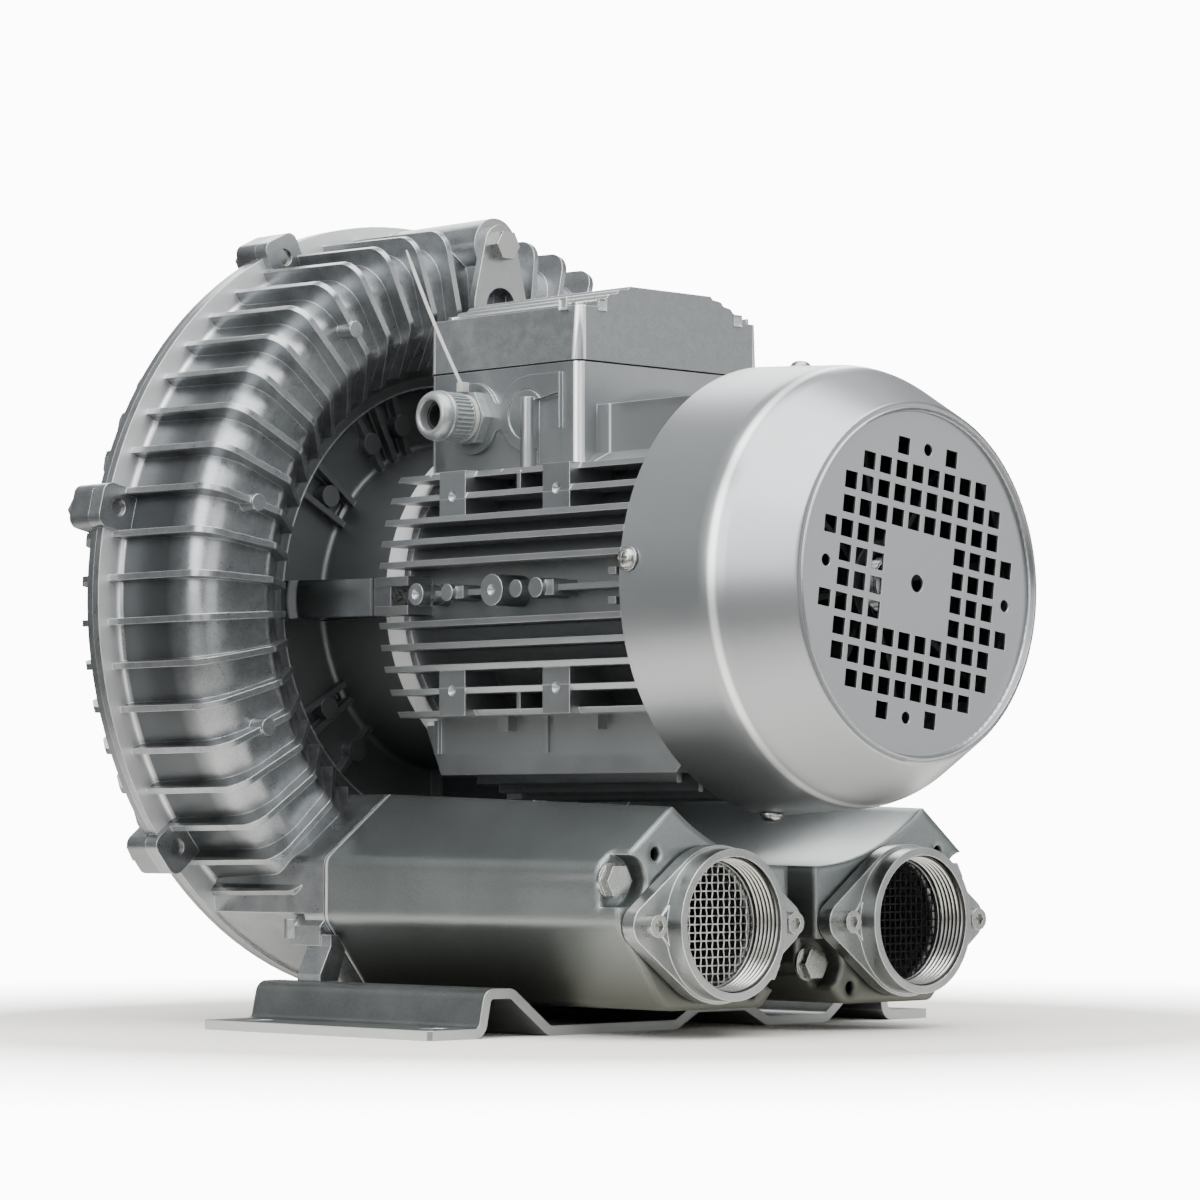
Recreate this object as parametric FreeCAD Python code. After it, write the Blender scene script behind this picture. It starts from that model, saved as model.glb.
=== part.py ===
import FreeCAD, Part
import math
import os

# Side channel blower with flanged motor, two silencers and threaded ports.
# Millimetres. The shaft runs along Y at the height AXIS_Z. The fan cover and the ports
# face -Y, the blower casing is at +Y. The floor is z = 0, below the middle of the foot slots.

os.makedirs("parts", exist_ok=True)
V = FreeCAD.Vector

# overall places
AXIS_Z = 200.0
FIT = 0.05                 # radial play between pieces that are pressed or slid together
RUN = 0.5                  # gap between turning and standing pieces

# casing and cover
CASING_R = 191.0
FLANGE_T = 4.2
JOINT_Y = 134.8
SHELL_R = 178.0
SHELL_DRAFT = 2.0
SHELL_FRONT_Y = 71.5
SHELL_WALL = 5.0
CHANNEL_R_IN = 124.0
CHANNEL_R_OUT = 172.0
SLOPE_R = 137.0            # where the front of the channel turns back to the recess
RECESS_R = 108.6
RECESS_RIM_Y = 94.5
RECESS_FLOOR_Y = 100.5
CHAMBER_Y = 106.0
NECK_R = 79.0
NECK_END_Y = 50.3
NECK_WALL = 4.0
SPIGOT_L = 4.0
RIB_COUNT = 56
RIB_PHASE = 119.35
RIB_T = 3.0
RIB_H = 7.0
RIB_R_KNEE = 142.4
RIB_R_END = 118.7
RIB_END_Y = 81.4
RIB_FREE = (231.5, 308.5)  # angles between which the outlet blocks stand in place of ribs
PIN_BOSS_R = 157.0
PIN_BOSS_D = 8.0
PIN_BOSS_H = 9.3
COVER_DEPTH = 27.0
EAR_COUNT = 7
EAR_R = 187.3
EAR_W = 21.0
EAR_R_OUT = 197.5
EAR_FRONT = 8.3
EAR_BACK = 14.2
M8_R = 4.0
STRIPPER_ANGLE = 30.0
ARM_R = 95.0
ARM_W = 17.8
ARM_END_Y = 46.8
ARM_R_IN = 83.8
ARM_SCREW_R = 88.4
RECESS_RIB_T = 3.0
RECESS_BOSS_R = 93.5
RECESS_BOSS_D = 10.5
RECESS_POCKET_Y = 103.0      # floor of the pockets between two neighbouring ribs

# rotor line
SHAFT_R = 15.0
CORE_SEAT_R = 19.0
FAN_SEAT_R = 12.5
WHEEL_SEAT_R = 14.0
BEARING_R = 31.0
BEARING_W = 16.0
DRIVE_BEARING_Y = 56.0
FAN_BEARING_Y = -133.0
BALL_R = 4.75
BALL_COUNT = 9
RACE_T = 4.6
STATOR_R = 75.0
STATOR_L = 95.0
STATOR_Y = -85.0
STATOR_BORE = 44.0
AIR_GAP = 0.5
WINDING_L = 25.0
SEAL_R = 21.0
SEAL_W = 7.0
WHEEL_R = 166.0
WHEEL_Y = 104.0
WHEEL_W = 42.0
VANE_COUNT = 48
VANE_T = 2.2
WHEEL_RING_T = 6.0
WHEEL_WEB_T = 5.0
WHEEL_DISC_T = 8.0
WHEEL_HUB_R = 30.0
WHEEL_HUB_L = 33.0
KEY_W = 8.0
KEY_H = 7.0
KEY_L = 24.0
WASHER_T = 3.0
WASHER_R = 20.0
M10_R = 5.0

# motor barrel
BARREL_R = 80.0
COLLAR_R = 83.5            # turned end that meets the casing
COLLAR_Y = 38.0
BARREL_FRONT_Y = -122.0
FIN_R = 100.0
FIN_T = 2.8
FIN_Z = (14.0, 24.2, 34.2, 44.8, 55.0)
FIN_END_Y = 37.0
PAD_X = 90.0
PAD_Y = (-3.0, -71.8)
PAD_W = 17.5
PAD_Z = (34.7, 55.0)
PAD_DIMPLE_Z = 44.85
BOSS_FACE_X = 98.5
# round bosses at shaft height: place on Y, radius, how far they stretch towards -Y, dimple or not
BOSS_ROW = (
    (12.7, 5.0, 0.0, True), (-8.4, 3.9, 4.0, False), (-38.4, 7.2, 0.0, True),
    (-54.2, 4.0, 0.0, False), (-67.2, 4.5, 4.0, False))
SADDLE_W = 96.0
SADDLE_TOP = 86.5
SKIRT_W = 120.0
SKIRT_DEPTH = 83.0
SKIRT_TOP = 55.0
SKIRT_WALL = 7.0
SKIRT_RIB_Y = (38.5, -35.7)
SKIRT_CUT = ((46.8, 138.0), (37.0, 117.0))    # slanted end towards the casing, Y and height
SKIRT_CHAMFER = 4.5
SHIELD_T = 12.0
SHIELD_R = 98.0
SHIELD_BOSS_R = 37.0
M6_R = 3.0
M5_R = 2.5

# fan and its cover
COVER_R = 102.0
COVER_SHEET = 1.2
COVER_EDGE_Y = -124.0
COVER_BEND_Y = -176.0
COVER_BEND_R = 99.0
COVER_RIM_R = 80.0
COVER_END_Y = -209.8
GRILLE_RECESS = 2.1
GRILLE_PITCH = 10.7
GRILLE_SQUARE = 7.7
GRILLE_ROUND = 5.5
COVER_TURN = 7.55           # the grille is turned against the shaft axes
SCREW_TURN = 5.6
FAN_R = 86.0
FAN_Y = -188.0
FAN_W = 32.0
FAN_BLADES = 8
FAN_SHEET = 2.5

# terminal box
BOX_HALF = 59.6
BOX_FRONT_Y = -55.2
BOX_BACK_Y = 45.8
BOX_SEAM = 306.0
BOX_WALL = 4.5
BOX_DEPTH = 34.0
BOX_GASKET_T = 0.8
LID_EDGE_Z = 331.8
LID_TOP_Z = 342.8
LID_STEP_X = (27.0, 34.5, 41.0, 45.5, 47.0)
LID_WALL = 3.2
GLAND_Y = 14.0
GLAND_Z = 283.6
GLAND_BOSS_R = 16.8
GLAND_BOSS_T = 2.2
GLAND_THREAD_R = 10.0
GLAND_HEX = 23.5
GLAND_HEX_T = 5.2
GLAND_NUT_R = 11.5
GLAND_NUT_L = 19.6
GLAND_GAP = 3.0            # thread left free between hexagon and nut, where the tie sits
GLAND_MOUTH_R = 7.0
BLANK_Y = -22.5            # second cable entry, cast shut
BLANK_R = 17.5
BLANK_RING_R = 12.0
ENTRY_FILLET = 3.5
ENTRY_EDGE_Y = -44.6
ENTRY_TOP_Z = 301.5
BOX_RIB_Y = -24.1
BOX_RIB_R = 3.7
BOX_RIB_TOP = 291.0

# silencers and ports
PORT_X = 62.5
PORT_Z = 50.0
SILENCER_BACK_Y = 51.5
SILENCER_FRONT_Y = -138.0
SILENCER_WALL = 4.5
SILENCER_END = 5.0
JOINT_T = 0.8
# corners of the eight-sided section: |x| and z at the casing, then |x| and z at the ports
SECTION = (
    ((81.0, 108.0), (83.0, 101.5)),
    ((120.0, 78.0), (116.0, 76.0)),
    ((120.0, 50.0), (116.0, 50.0)),
    ((91.0, 13.0), (88.0, 12.5)),
    ((27.0, 13.0), (27.0, 12.5)),
    ((9.5, 30.0), (9.5, 30.0)),
    ((9.5, 77.0), (9.5, 75.0)),
)
SECTION_FILLET = (4.0, 7.0, 9.0, 8.0, 6.0, 6.0, 2.0)
DUCT_R = 26.0
POCKET_R = 11.5
POCKET_L = 12.0
CORNER_BOLTS = ((47.5, 19.4), (-46.6, -19.2))
CORNER_HOLES = ((31.0, 31.0), (-30.0, -30.5))
MUFFLER_BOLT_GRIP = 22.0
FLANGE_GASKET_T = 1.5
PORT_RING_R = 33.4
PORT_END_Y = -156.1
PORT_THREAD_R = 29.8
PORT_THREAD_L = 15.0
PORT_THROAT_R = 27.6
PORT_PLATE_T = 7.0
PORT_EAR_X = 43.4
PORT_EAR_R = 9.5
PORT_WEB_ANGLE = 60.0
PORT_WEB_H = 4.5
PORT_WEB_GAP = 5.3
SCREEN_T = 1.0
SCREEN_PITCH = 3.7
SCREEN_WIRE = 0.9
FOAM_R = 30.0
FOAM_T = 4.4
FOAM_L = 150.0

# foot plate and its screws
FOOT_T = 4.5
FOOT_Y0 = -74.0
FOOT_Y1 = 81.0
FOOT_LEFT = -168.0
FOOT_RIGHT = 160.0
HUMP_TOP = 21.7
SLOT_X = 152.0
SLOT_Y = 59.0
SLOT_W = 9.0
SLOT_L = 14.0
FOOT_CHAMFER = 3.0
FOOT_RAISED = 9.8          # middle of the sheet where it passes between the silencers
# legs: outer edge, way inwards, and their two ends on Y; the left one reaches below its silencer
LEGS = ((-127.5, 1, 45.5, 61.5), (120.4, -1, 52.3, 68.3))
LEG_W = 11.0
LEG_FOOT_Z = 25.0
LEG_LEAN = 6.5
LEG_KNEE_Z = 38.0
FOOT_SCREWS = ((-123.2, 53.5), (116.1, 60.3))
FOOT_SCREW_L = 9.6
SEAT_GAP = 0.65            # air under a screw head that sits in a bend

# lifting lug
LUG_X = -2.0
LUG_BOLT_Z = 375.0
LUG_EYE_Z = 345.0
LUG_EYE_R = 9.5
LUG_T = 4.0
LUG_FRONT_Y = 58.0
LUG_BOSS_R = 14.0


def rounded_edges(points, place):
    """Edges of a closed outline. Each point is (a, b) or (a, b, fillet radius)."""
    n = len(points)
    corners = []
    for i in range(n):
        p = points[i]
        r = p[2] if len(p) > 2 else 0.0
        if r <= 0:
            corners.append(((p[0], p[1]), None, (p[0], p[1])))
            continue
        a = points[i - 1]
        b = points[(i + 1) % n]
        ua = (a[0] - p[0], a[1] - p[1])
        ub = (b[0] - p[0], b[1] - p[1])
        la = math.hypot(*ua)
        lb = math.hypot(*ub)
        ua = (ua[0] / la, ua[1] / la)
        ub = (ub[0] / lb, ub[1] / lb)
        half = math.acos(max(-1.0, min(1.0, ua[0] * ub[0] + ua[1] * ub[1]))) / 2
        cut = min(r / math.tan(half), 0.49 * la, 0.49 * lb)
        r = cut * math.tan(half)
        mid = (ua[0] + ub[0], ua[1] + ub[1])
        lm = math.hypot(*mid)
        reach = r / math.sin(half) - r
        corners.append((
            (p[0] + ua[0] * cut, p[1] + ua[1] * cut),
            (p[0] + mid[0] / lm * reach, p[1] + mid[1] / lm * reach),
            (p[0] + ub[0] * cut, p[1] + ub[1] * cut),
        ))
    edges = []
    for i in range(n):
        start, middle, end = corners[i]
        if middle is not None:
            edges.append(Part.Arc(place(*start), place(*middle), place(*end)).toShape())
        after = corners[(i + 1) % n][0]
        if math.hypot(after[0] - end[0], after[1] - end[1]) > 1e-6:
            edges.append(Part.makeLine(place(*end), place(*after)))
    return edges


def outline_face(points, place):
    return Part.Face(Part.Wire(rounded_edges(points, place)))


def turned(points, start=0.0, angle=360.0):
    """Solid turned about the shaft line from points (radius, y)."""
    face = outline_face(points, lambda r, y: V(r, y, AXIS_Z))
    if start:
        face = spin(face, start)
    return face.revolve(V(0, 0, AXIS_Z), V(0, -1, 0), angle)


def spin(shape, angle):
    """Copy turned about the shaft line. Angles run from +X towards +Z."""
    copy = shape.copy()
    copy.rotate(V(0, 0, AXIS_Z), V(0, -1, 0), angle)
    return copy


def on_circle(radius, angle):
    a = math.radians(angle)
    return radius * math.cos(a), AXIS_Z + radius * math.sin(a)


def rod(radius, x, z, y0, y1):
    """Cylinder along Y between y0 and y1."""
    return Part.makeCylinder(radius, abs(y1 - y0), V(x, min(y0, y1), z), V(0, 1, 0))


def block(x0, x1, y0, y1, z0, z1):
    return Part.makeBox(abs(x1 - x0), abs(y1 - y0), abs(z1 - z0), V(min(x0, x1), min(y0, y1), min(z0, z1)))


def slab_y(points, y0, y1):
    """Outline in X and Z, drawn out from y0 to y1."""
    return outline_face(points, lambda x, z: V(x, y0, z)).extrude(V(0, y1 - y0, 0))


def hexagon(x, z, y0, y1, across, turn=0.0):
    r = across / math.sqrt(3)
    pts = [(x + r * math.cos(math.radians(turn + 60 * i)), z + r * math.sin(math.radians(turn + 60 * i)))
           for i in range(6)]
    return slab_y(pts, y0, y1)


def hex_bolt(x, z, seat, way, length, radius, flange=0.0):
    """Hexagon bolt along Y. Its shank runs from the seat in the direction way."""
    across = radius * 3.25
    head = radius * 1.35
    bolt = hexagon(x, z, seat, seat - way * (head + flange * 1.2), across)
    shank = rod(radius, x, z, seat, seat + way * length)
    bolt = bolt.fuse(shank)
    if flange:
        bolt = bolt.fuse(rod(radius * 2, x, z, seat, seat - way * 1.6))
    return bolt.removeSplitter()


def socket_screw(x, z, seat, way, length, radius):
    """Cylinder head screw with hexagon socket, along Y."""
    head = rod(radius * 1.67, x, z, seat, seat - way * radius * 2)
    socket = hexagon(x, z, seat - way * radius, seat - way * radius * 2.2, radius * 1.67)
    return head.cut(socket).fuse(rod(radius, x, z, seat, seat + way * length)).removeSplitter()


def mirrored(shape):
    return shape.mirror(V(0, 0, 0), V(1, 0, 0))


def group(shapes):
    return Part.makeCompound(shapes)


def save(name, shape):
    if len(shape.Solids) == 1:
        shape = shape.Solids[0]
    shape.exportStep("parts/" + name + ".step")


# casing

FLANGE_FRONT_Y = JOINT_Y - FLANGE_T
SHELL_R_FRONT = SHELL_R - SHELL_DRAFT
COVER_FLANGE_Y = JOINT_Y + FLANGE_T
SLOPE_END_R = SLOPE_R - (RECESS_RIM_Y - SHELL_FRONT_Y)
LAND_Y = WHEEL_Y - RUN
BACK_LAND_Y = WHEEL_Y + WHEEL_W + RUN
LAND_R = 104.0
WHEEL_CLEAR_R = WHEEL_R + RUN
BOSS_END_Y = DRIVE_BEARING_Y - 4.0
CHANNEL_FRONT_Y = SHELL_FRONT_Y + SHELL_WALL
WALL_SLOPE = SHELL_WALL * math.sqrt(2)


def channel_ears(front, back):
    ears = []
    for i in range(EAR_COUNT):
        w = EAR_W / 2
        base = SHELL_R - 6
        face = outline_face(
            [(base, -w), (EAR_R_OUT, -w, 5), (EAR_R_OUT, w, 5), (base, w)],
            lambda r, t: V(r, front, AXIS_Z + t))
        ear = face.extrude(V(0, back - front, 0))
        ears.append(spin(ear, 270 + i * 360.0 / EAR_COUNT))
    return ears


def ear_holes(radius, front, back):
    holes = []
    for i in range(EAR_COUNT):
        x, z = on_circle(EAR_R, 270 + i * 360.0 / EAR_COUNT)
        holes.append(rod(radius, x, z, front, back))
    return holes


def rib_angles():
    step = 360.0 / RIB_COUNT
    angles = []
    for i in range(RIB_COUNT):
        a = (RIB_PHASE + i * step) % 360
        angles.append(a)
    return angles


def casing_rib():
    top = SHELL_R + RIB_H
    points = [
        (top, FLANGE_FRONT_Y),
        (top - 1.4, SHELL_FRONT_Y - RIB_H + 0.6, 11),
        (RIB_R_KNEE, SHELL_FRONT_Y - RIB_H - 2.0, 7),
        (RIB_R_END, RIB_END_Y),
        (RIB_R_END, RECESS_FLOOR_Y - 3),
        (SHELL_R_FRONT - 4, RECESS_FLOOR_Y - 3),
        (SHELL_R - 4, FLANGE_FRONT_Y + 1),
    ]
    face = outline_face(points, lambda r, y: V(r, y, AXIS_Z - RIB_T / 2))
    return face.extrude(V(0, 0, RIB_T))


def section_points(end):
    """Corners of the silencer section, with its fillets, at the casing (0) or at the ports (1)."""
    return [(SECTION[i][end][0], SECTION[i][end][1]) for i in range(len(SECTION))]


def inset(points, wall):
    """The same outline moved inwards by the wall, corner by corner."""
    n = len(points)
    area = sum(points[i][0] * points[(i + 1) % n][1] - points[(i + 1) % n][0] * points[i][1] for i in range(n))
    side = -1.0 if area > 0 else 1.0
    moved = []
    for i in range(n):
        a, p, b = points[i - 1], points[i], points[(i + 1) % n]
        n1 = (side * (p[1] - a[1]), -side * (p[0] - a[0]))
        n2 = (side * (b[1] - p[1]), -side * (b[0] - p[0]))
        l1 = math.hypot(*n1)
        l2 = math.hypot(*n2)
        n1 = (n1[0] / l1, n1[1] / l1)
        n2 = (n2[0] / l2, n2[1] / l2)
        k = wall / (1 + n1[0] * n2[0] + n1[1] * n2[1])
        moved.append((p[0] + (n1[0] + n2[0]) * k, p[1] + (n1[1] + n2[1]) * k))
    return moved


def section_wire(points, y, fillets):
    """Right-hand section at the station y. Its upper inner side is an arc that clears the barrel."""
    top = points[0]
    inner = points[-1]
    chord = math.hypot(top[0] - inner[0], top[1] - inner[1])
    sag = 0.081 * chord
    mx = (top[0] + inner[0]) / 2 + sag * (top[1] - inner[1]) / chord
    mz = (top[1] + inner[1]) / 2 - sag * (top[0] - inner[0]) / chord
    path = [(p[0], p[1], f) for p, f in zip(points, fillets)]
    path[0] = (top[0], top[1], 0)
    path[-1] = (inner[0], inner[1], 0)
    edges = rounded_edges(path, lambda x, z: V(x, y, z))
    arc = Part.Arc(V(inner[0], y, inner[1]), V(mx, y, mz), V(top[0], y, top[1])).toShape()
    return Part.Wire(edges[:-1] + [arc])


def silencer_outer(y0, y1, e0, e1):
    w0 = section_wire(section_points(e0), y0, SECTION_FILLET)
    w1 = section_wire(section_points(e1), y1, SECTION_FILLET)
    return Part.makeLoft([w0, w1], True, True)


def silencer_inner(y0, y1, e0, e1):
    fillets = [max(f - SILENCER_WALL, 1.5) for f in SECTION_FILLET]
    w0 = section_wire(inset(section_points(e0), SILENCER_WALL), y0, fillets)
    w1 = section_wire(inset(section_points(e1), SILENCER_WALL), y1, fillets)
    return Part.makeLoft([w0, w1], True, True)


def corner_bolt_places():
    return [(PORT_X + dx, PORT_Z + dz) for dx, dz in CORNER_BOLTS]


def casing_legs():
    """Short leaning legs from the outlet blocks down to the humps of the foot plate, each with a pin boss behind."""
    legs = []
    joint = SILENCER_BACK_Y + 0.5
    for x, way, y0, y1 in LEGS:
        knee = x + way * LEG_LEAN
        leg = [
            (x, HUMP_TOP), (x, LEG_FOOT_Z), (knee, LEG_KNEE_Z), (knee, LEG_KNEE_Z + 5),
            (knee + way * 4.5, LEG_KNEE_Z + 5),
            (x + way * LEG_W * 1.4, LEG_KNEE_Z - 2), (x + way * LEG_W, HUMP_TOP)]
        legs.append(slab_y(leg, y0, y1))
        arm = [
            (knee - way, LEG_KNEE_Z), (knee - way, LEG_KNEE_Z + 9), (knee + way * 5, LEG_KNEE_Z + 15),
            (knee + way * 13, LEG_KNEE_Z + 2), (knee + way * 6, LEG_KNEE_Z)]
        legs.append(slab_y(arm, max(y0, joint), y1 + 12))
        legs.append(Part.makeCylinder(3.3, 9, V(knee, y1 + 12, LEG_KNEE_Z + 3), V(0, 0, 1)))
    return legs


def recess_pockets():
    """Pockets between neighbouring ribs of the recess, two above and one below on each side."""
    pockets = []
    for a, b in ((110.3, 117.0), (117.0, 123.8), (142.5, 151.5), (209.5, 215.7)):
        for start in (a, 180 - b):
            pockets.append(turned([
                (NECK_R + 2, RECESS_FLOOR_Y - 3), (RECESS_R - 2, RECESS_FLOOR_Y - 3),
                (RECESS_R - 2, RECESS_POCKET_Y, 1), (NECK_R + 2, RECESS_POCKET_Y, 1)], start + 1.4, b - a - 2.8))
    return pockets


def build_casing():
    body = turned([
        (0, JOINT_Y), (CASING_R, JOINT_Y), (CASING_R, FLANGE_FRONT_Y), (SHELL_R, FLANGE_FRONT_Y, 3),
        (SHELL_R_FRONT, SHELL_FRONT_Y, 17), (SLOPE_R, SHELL_FRONT_Y, 8), (SLOPE_END_R, RECESS_RIM_Y),
        (RECESS_R, RECESS_RIM_Y), (RECESS_R, RECESS_FLOOR_Y, 2), (NECK_R, RECESS_FLOOR_Y, 3),
        (NECK_R, NECK_END_Y), (STATOR_R - FIT, NECK_END_Y), (STATOR_R - FIT, NECK_END_Y - SPIGOT_L),
        (0, NECK_END_Y - SPIGOT_L)])
    adds = []
    rib = casing_rib()
    for a in rib_angles():
        if RIB_FREE[0] < a < RIB_FREE[1]:
            continue
        adds.append(spin(rib, a))
    # ejector bosses on every sixth rib
    step = 360.0 / RIB_COUNT
    for i in range(-17, 20, 6):
        a = RIB_PHASE + step * (i + 6)
        if RIB_FREE[0] - 5 < a % 360 < RIB_FREE[1] + 5:
            continue
        x, z = on_circle(PIN_BOSS_R, a)
        adds.append(rod(PIN_BOSS_D / 2, x, z, SHELL_FRONT_Y - PIN_BOSS_H, SHELL_FRONT_Y + 3))
    # outlet blocks behind the silencers
    stub = silencer_outer(SILENCER_BACK_Y, FLANGE_FRONT_Y + 1, 0, 0)
    clip = rod(CASING_R - 1, 0, AXIS_Z, SILENCER_BACK_Y + 14, JOINT_Y)
    head = rod(CASING_R + 60, 0, AXIS_Z, SILENCER_BACK_Y, SILENCER_BACK_Y + 14)
    stub = stub.common(clip.fuse(head))
    adds += [stub, mirrored(stub)]
    adds += casing_legs()
    # four arms that carry the barrel
    arm = outline_face([
        (RECESS_R + 2, RECESS_RIM_Y), (ARM_R, ARM_END_Y, 1.5), (ARM_R_IN, ARM_END_Y), (ARM_R_IN, NECK_END_Y),
        (NECK_R - 2, NECK_END_Y + 1), (NECK_R - 2, RECESS_FLOOR_Y + 2), (RECESS_R + 2, RECESS_FLOOR_Y + 2)],
        lambda r, y: V(r, y, AXIS_Z - ARM_W / 2)).extrude(V(0, 0, ARM_W))
    adds += [spin(arm, 90 * i) for i in range(4)]
    # ribs and bosses in the recess
    body = body.cut(recess_pockets())
    for a in (110.3, 117.0, 123.8, 142.5, 151.5, 209.5, 215.7, 229.0):
        bar = block(NECK_R - 2, RECESS_R + 2, RECESS_RIM_Y + 1.5, RECESS_FLOOR_Y + 2,
                    AXIS_Z - RECESS_RIB_T / 2, AXIS_Z + RECESS_RIB_T / 2)
        adds += [spin(bar, a), spin(bar, 180 - a)]
    for a in (110.3, 123.8, 147.0, 212.6, 229.0):
        for b in (a, 180 - a):
            x, z = on_circle(RECESS_BOSS_R, b)
            adds.append(rod(RECESS_BOSS_D / 2, x, z, RECESS_RIM_Y + 0.7, RECESS_FLOOR_Y + 2))
    # seat of the lifting lug
    adds.append(rod(LUG_BOSS_R, LUG_X, LUG_BOLT_Z, LUG_FRONT_Y + LUG_T, FLANGE_FRONT_Y))
    adds += channel_ears(JOINT_Y - EAR_FRONT, JOINT_Y)
    body = body.multiFuse(adds)

    # wheel chamber and the side channel, which stops short at the stripper between the ports
    chamber = turned([
        (0, CHAMBER_Y), (LAND_R - 3, CHAMBER_Y), (LAND_R, LAND_Y), (WHEEL_CLEAR_R, LAND_Y),
        (WHEEL_CLEAR_R, JOINT_Y + 5), (0, JOINT_Y + 5)])
    channel = turned([
        (CHANNEL_R_IN, SHELL_FRONT_Y + SHELL_WALL + (SLOPE_R + WALL_SLOPE - 5 - CHANNEL_R_IN) + 2),
        (SLOPE_R + 2, CHANNEL_FRONT_Y, 5), (CHANNEL_R_OUT, CHANNEL_FRONT_Y, 13),
        (CHANNEL_R_OUT, JOINT_Y + 5), (CHANNEL_R_IN, JOINT_Y + 5)],
        270 + STRIPPER_ANGLE / 2, 360 - STRIPPER_ANGLE)
    motor_side = turned([
        (SHIELD_BOSS_R, RECESS_FLOOR_Y - 2.5, 4), (STATOR_R - FIT - NECK_WALL, RECESS_FLOOR_Y - 2.5, 4),
        (STATOR_R - FIT - NECK_WALL, 0), (SHIELD_BOSS_R, 0)])
    boss_front = turned([(0, 0), (SHIELD_BOSS_R + 1, 0), (SHIELD_BOSS_R + 1, BOSS_END_Y), (0, BOSS_END_Y)])
    seat_end = DRIVE_BEARING_Y + BEARING_W
    bore = turned([
        (0, 0), (BEARING_R + FIT, 0), (BEARING_R + FIT, seat_end), (BEARING_R - 4.5, seat_end),
        (BEARING_R - 4.5, seat_end + 4), (SEAL_R + FIT, seat_end + 4), (SEAL_R + FIT, seat_end + 4 + SEAL_W),
        (SHAFT_R + 1.5, seat_end + 4 + SEAL_W), (SHAFT_R + 1.5, CHAMBER_Y + 5), (0, CHAMBER_Y + 5)])
    cuts = [chamber, channel, motor_side, boss_front, bore]
    for s in (-1, 1):
        cuts.append(rod(DUCT_R, s * PORT_X, PORT_Z, SILENCER_BACK_Y - 1, CHANNEL_FRONT_Y + 4))
        for x, z in corner_bolt_places():
            cuts.append(rod(M8_R + FIT, s * x, z, SILENCER_BACK_Y - 1, SILENCER_BACK_Y + MUFFLER_BOLT_GRIP + 2))
    cuts += ear_holes(M8_R + FIT, JOINT_Y - EAR_FRONT - 1, JOINT_Y + 1)
    for i in range(4):
        x, z = on_circle(ARM_SCREW_R, 90 * i)
        cuts.append(rod(M6_R + FIT, x, z, ARM_END_Y - 1, ARM_END_Y + 18))
    for x, y in FOOT_SCREWS:
        cuts.append(Part.makeCylinder(M5_R + FIT, FOOT_SCREW_L - FOOT_T, V(x, y, HUMP_TOP - 0.5), V(0, 0, 1)))
    cuts.append(rod(M8_R + FIT, LUG_X, LUG_BOLT_Z, LUG_FRONT_Y, SHELL_FRONT_Y + 3))
    return body.cut(cuts).removeSplitter()


def build_cover():
    back = COVER_FLANGE_Y + COVER_DEPTH
    hub = BACK_LAND_Y + 5 + SHELL_WALL
    body = turned([
        (0, JOINT_Y), (CASING_R, JOINT_Y), (CASING_R, COVER_FLANGE_Y), (SHELL_R, COVER_FLANGE_Y, 2),
        (SHELL_R - 1.5, COVER_FLANGE_Y + 12, 9), (SHELL_R - 12, back - 3, 9), (SLOPE_R + 2, back, 7),
        (SLOPE_R - 21, hub - 2, 4), (48, hub, 4), (44, hub + 4, 3), (0, hub + 4)])
    adds = []
    top = SHELL_R + RIB_H
    face = outline_face([
        (SHELL_R - 6, COVER_FLANGE_Y - 1), (top, COVER_FLANGE_Y), (top - 1, COVER_FLANGE_Y + 13, 7),
        (SHELL_R - 8, back + 4, 8), (SLOPE_R + 4, back + 6, 6), (SLOPE_R - 21, hub + 4, 4), (60, hub + 3),
        (60, hub - 3), (SLOPE_R - 10, hub - 3), (SLOPE_R + 2, back - 4), (SHELL_R - 16, back - 6)],
        lambda r, y: V(r, y, AXIS_Z - RIB_T / 2))
    rib = face.extrude(V(0, 0, RIB_T))
    adds += [spin(rib, a) for a in rib_angles()]
    adds += channel_ears(JOINT_Y, JOINT_Y + EAR_BACK)
    body = body.multiFuse(adds)
    inner_back = back - SHELL_WALL
    chamber = turned([
        (0, JOINT_Y - 5), (WHEEL_CLEAR_R, JOINT_Y - 5), (WHEEL_CLEAR_R, BACK_LAND_Y), (LAND_R, BACK_LAND_Y),
        (LAND_R - 4, BACK_LAND_Y + 5), (44, BACK_LAND_Y + 5), (41, BACK_LAND_Y + 9), (0, BACK_LAND_Y + 9)])
    channel = turned([
        (CHANNEL_R_IN, JOINT_Y - 5), (CHANNEL_R_OUT, JOINT_Y - 5), (CHANNEL_R_OUT, COVER_FLANGE_Y + 9, 7),
        (SHELL_R - 16, inner_back - 2, 7), (SLOPE_R + 3, inner_back, 5), (CHANNEL_R_IN, BACK_LAND_Y + 4)],
        270 + STRIPPER_ANGLE / 2, 360 - STRIPPER_ANGLE)
    cuts = [chamber, channel] + ear_holes(M8_R + FIT, JOINT_Y - 1, JOINT_Y + EAR_BACK + 1)
    return body.cut(cuts).removeSplitter()


def build_cover_bolts():
    bolts = []
    for i in range(EAR_COUNT):
        x, z = on_circle(EAR_R, 270 + i * 360.0 / EAR_COUNT)
        bolts.append(hex_bolt(x, z, JOINT_Y + EAR_BACK, -1, EAR_BACK + EAR_FRONT - 1.5, M8_R, 1))
    return group(bolts)


# rotor line

WHEEL_END_Y = WHEEL_Y + 3 + WHEEL_HUB_L
SHAFT_SHOULDER_Y = WHEEL_Y + 3
FAN_SHOULDER_Y = FAN_Y + FAN_W + 6


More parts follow.
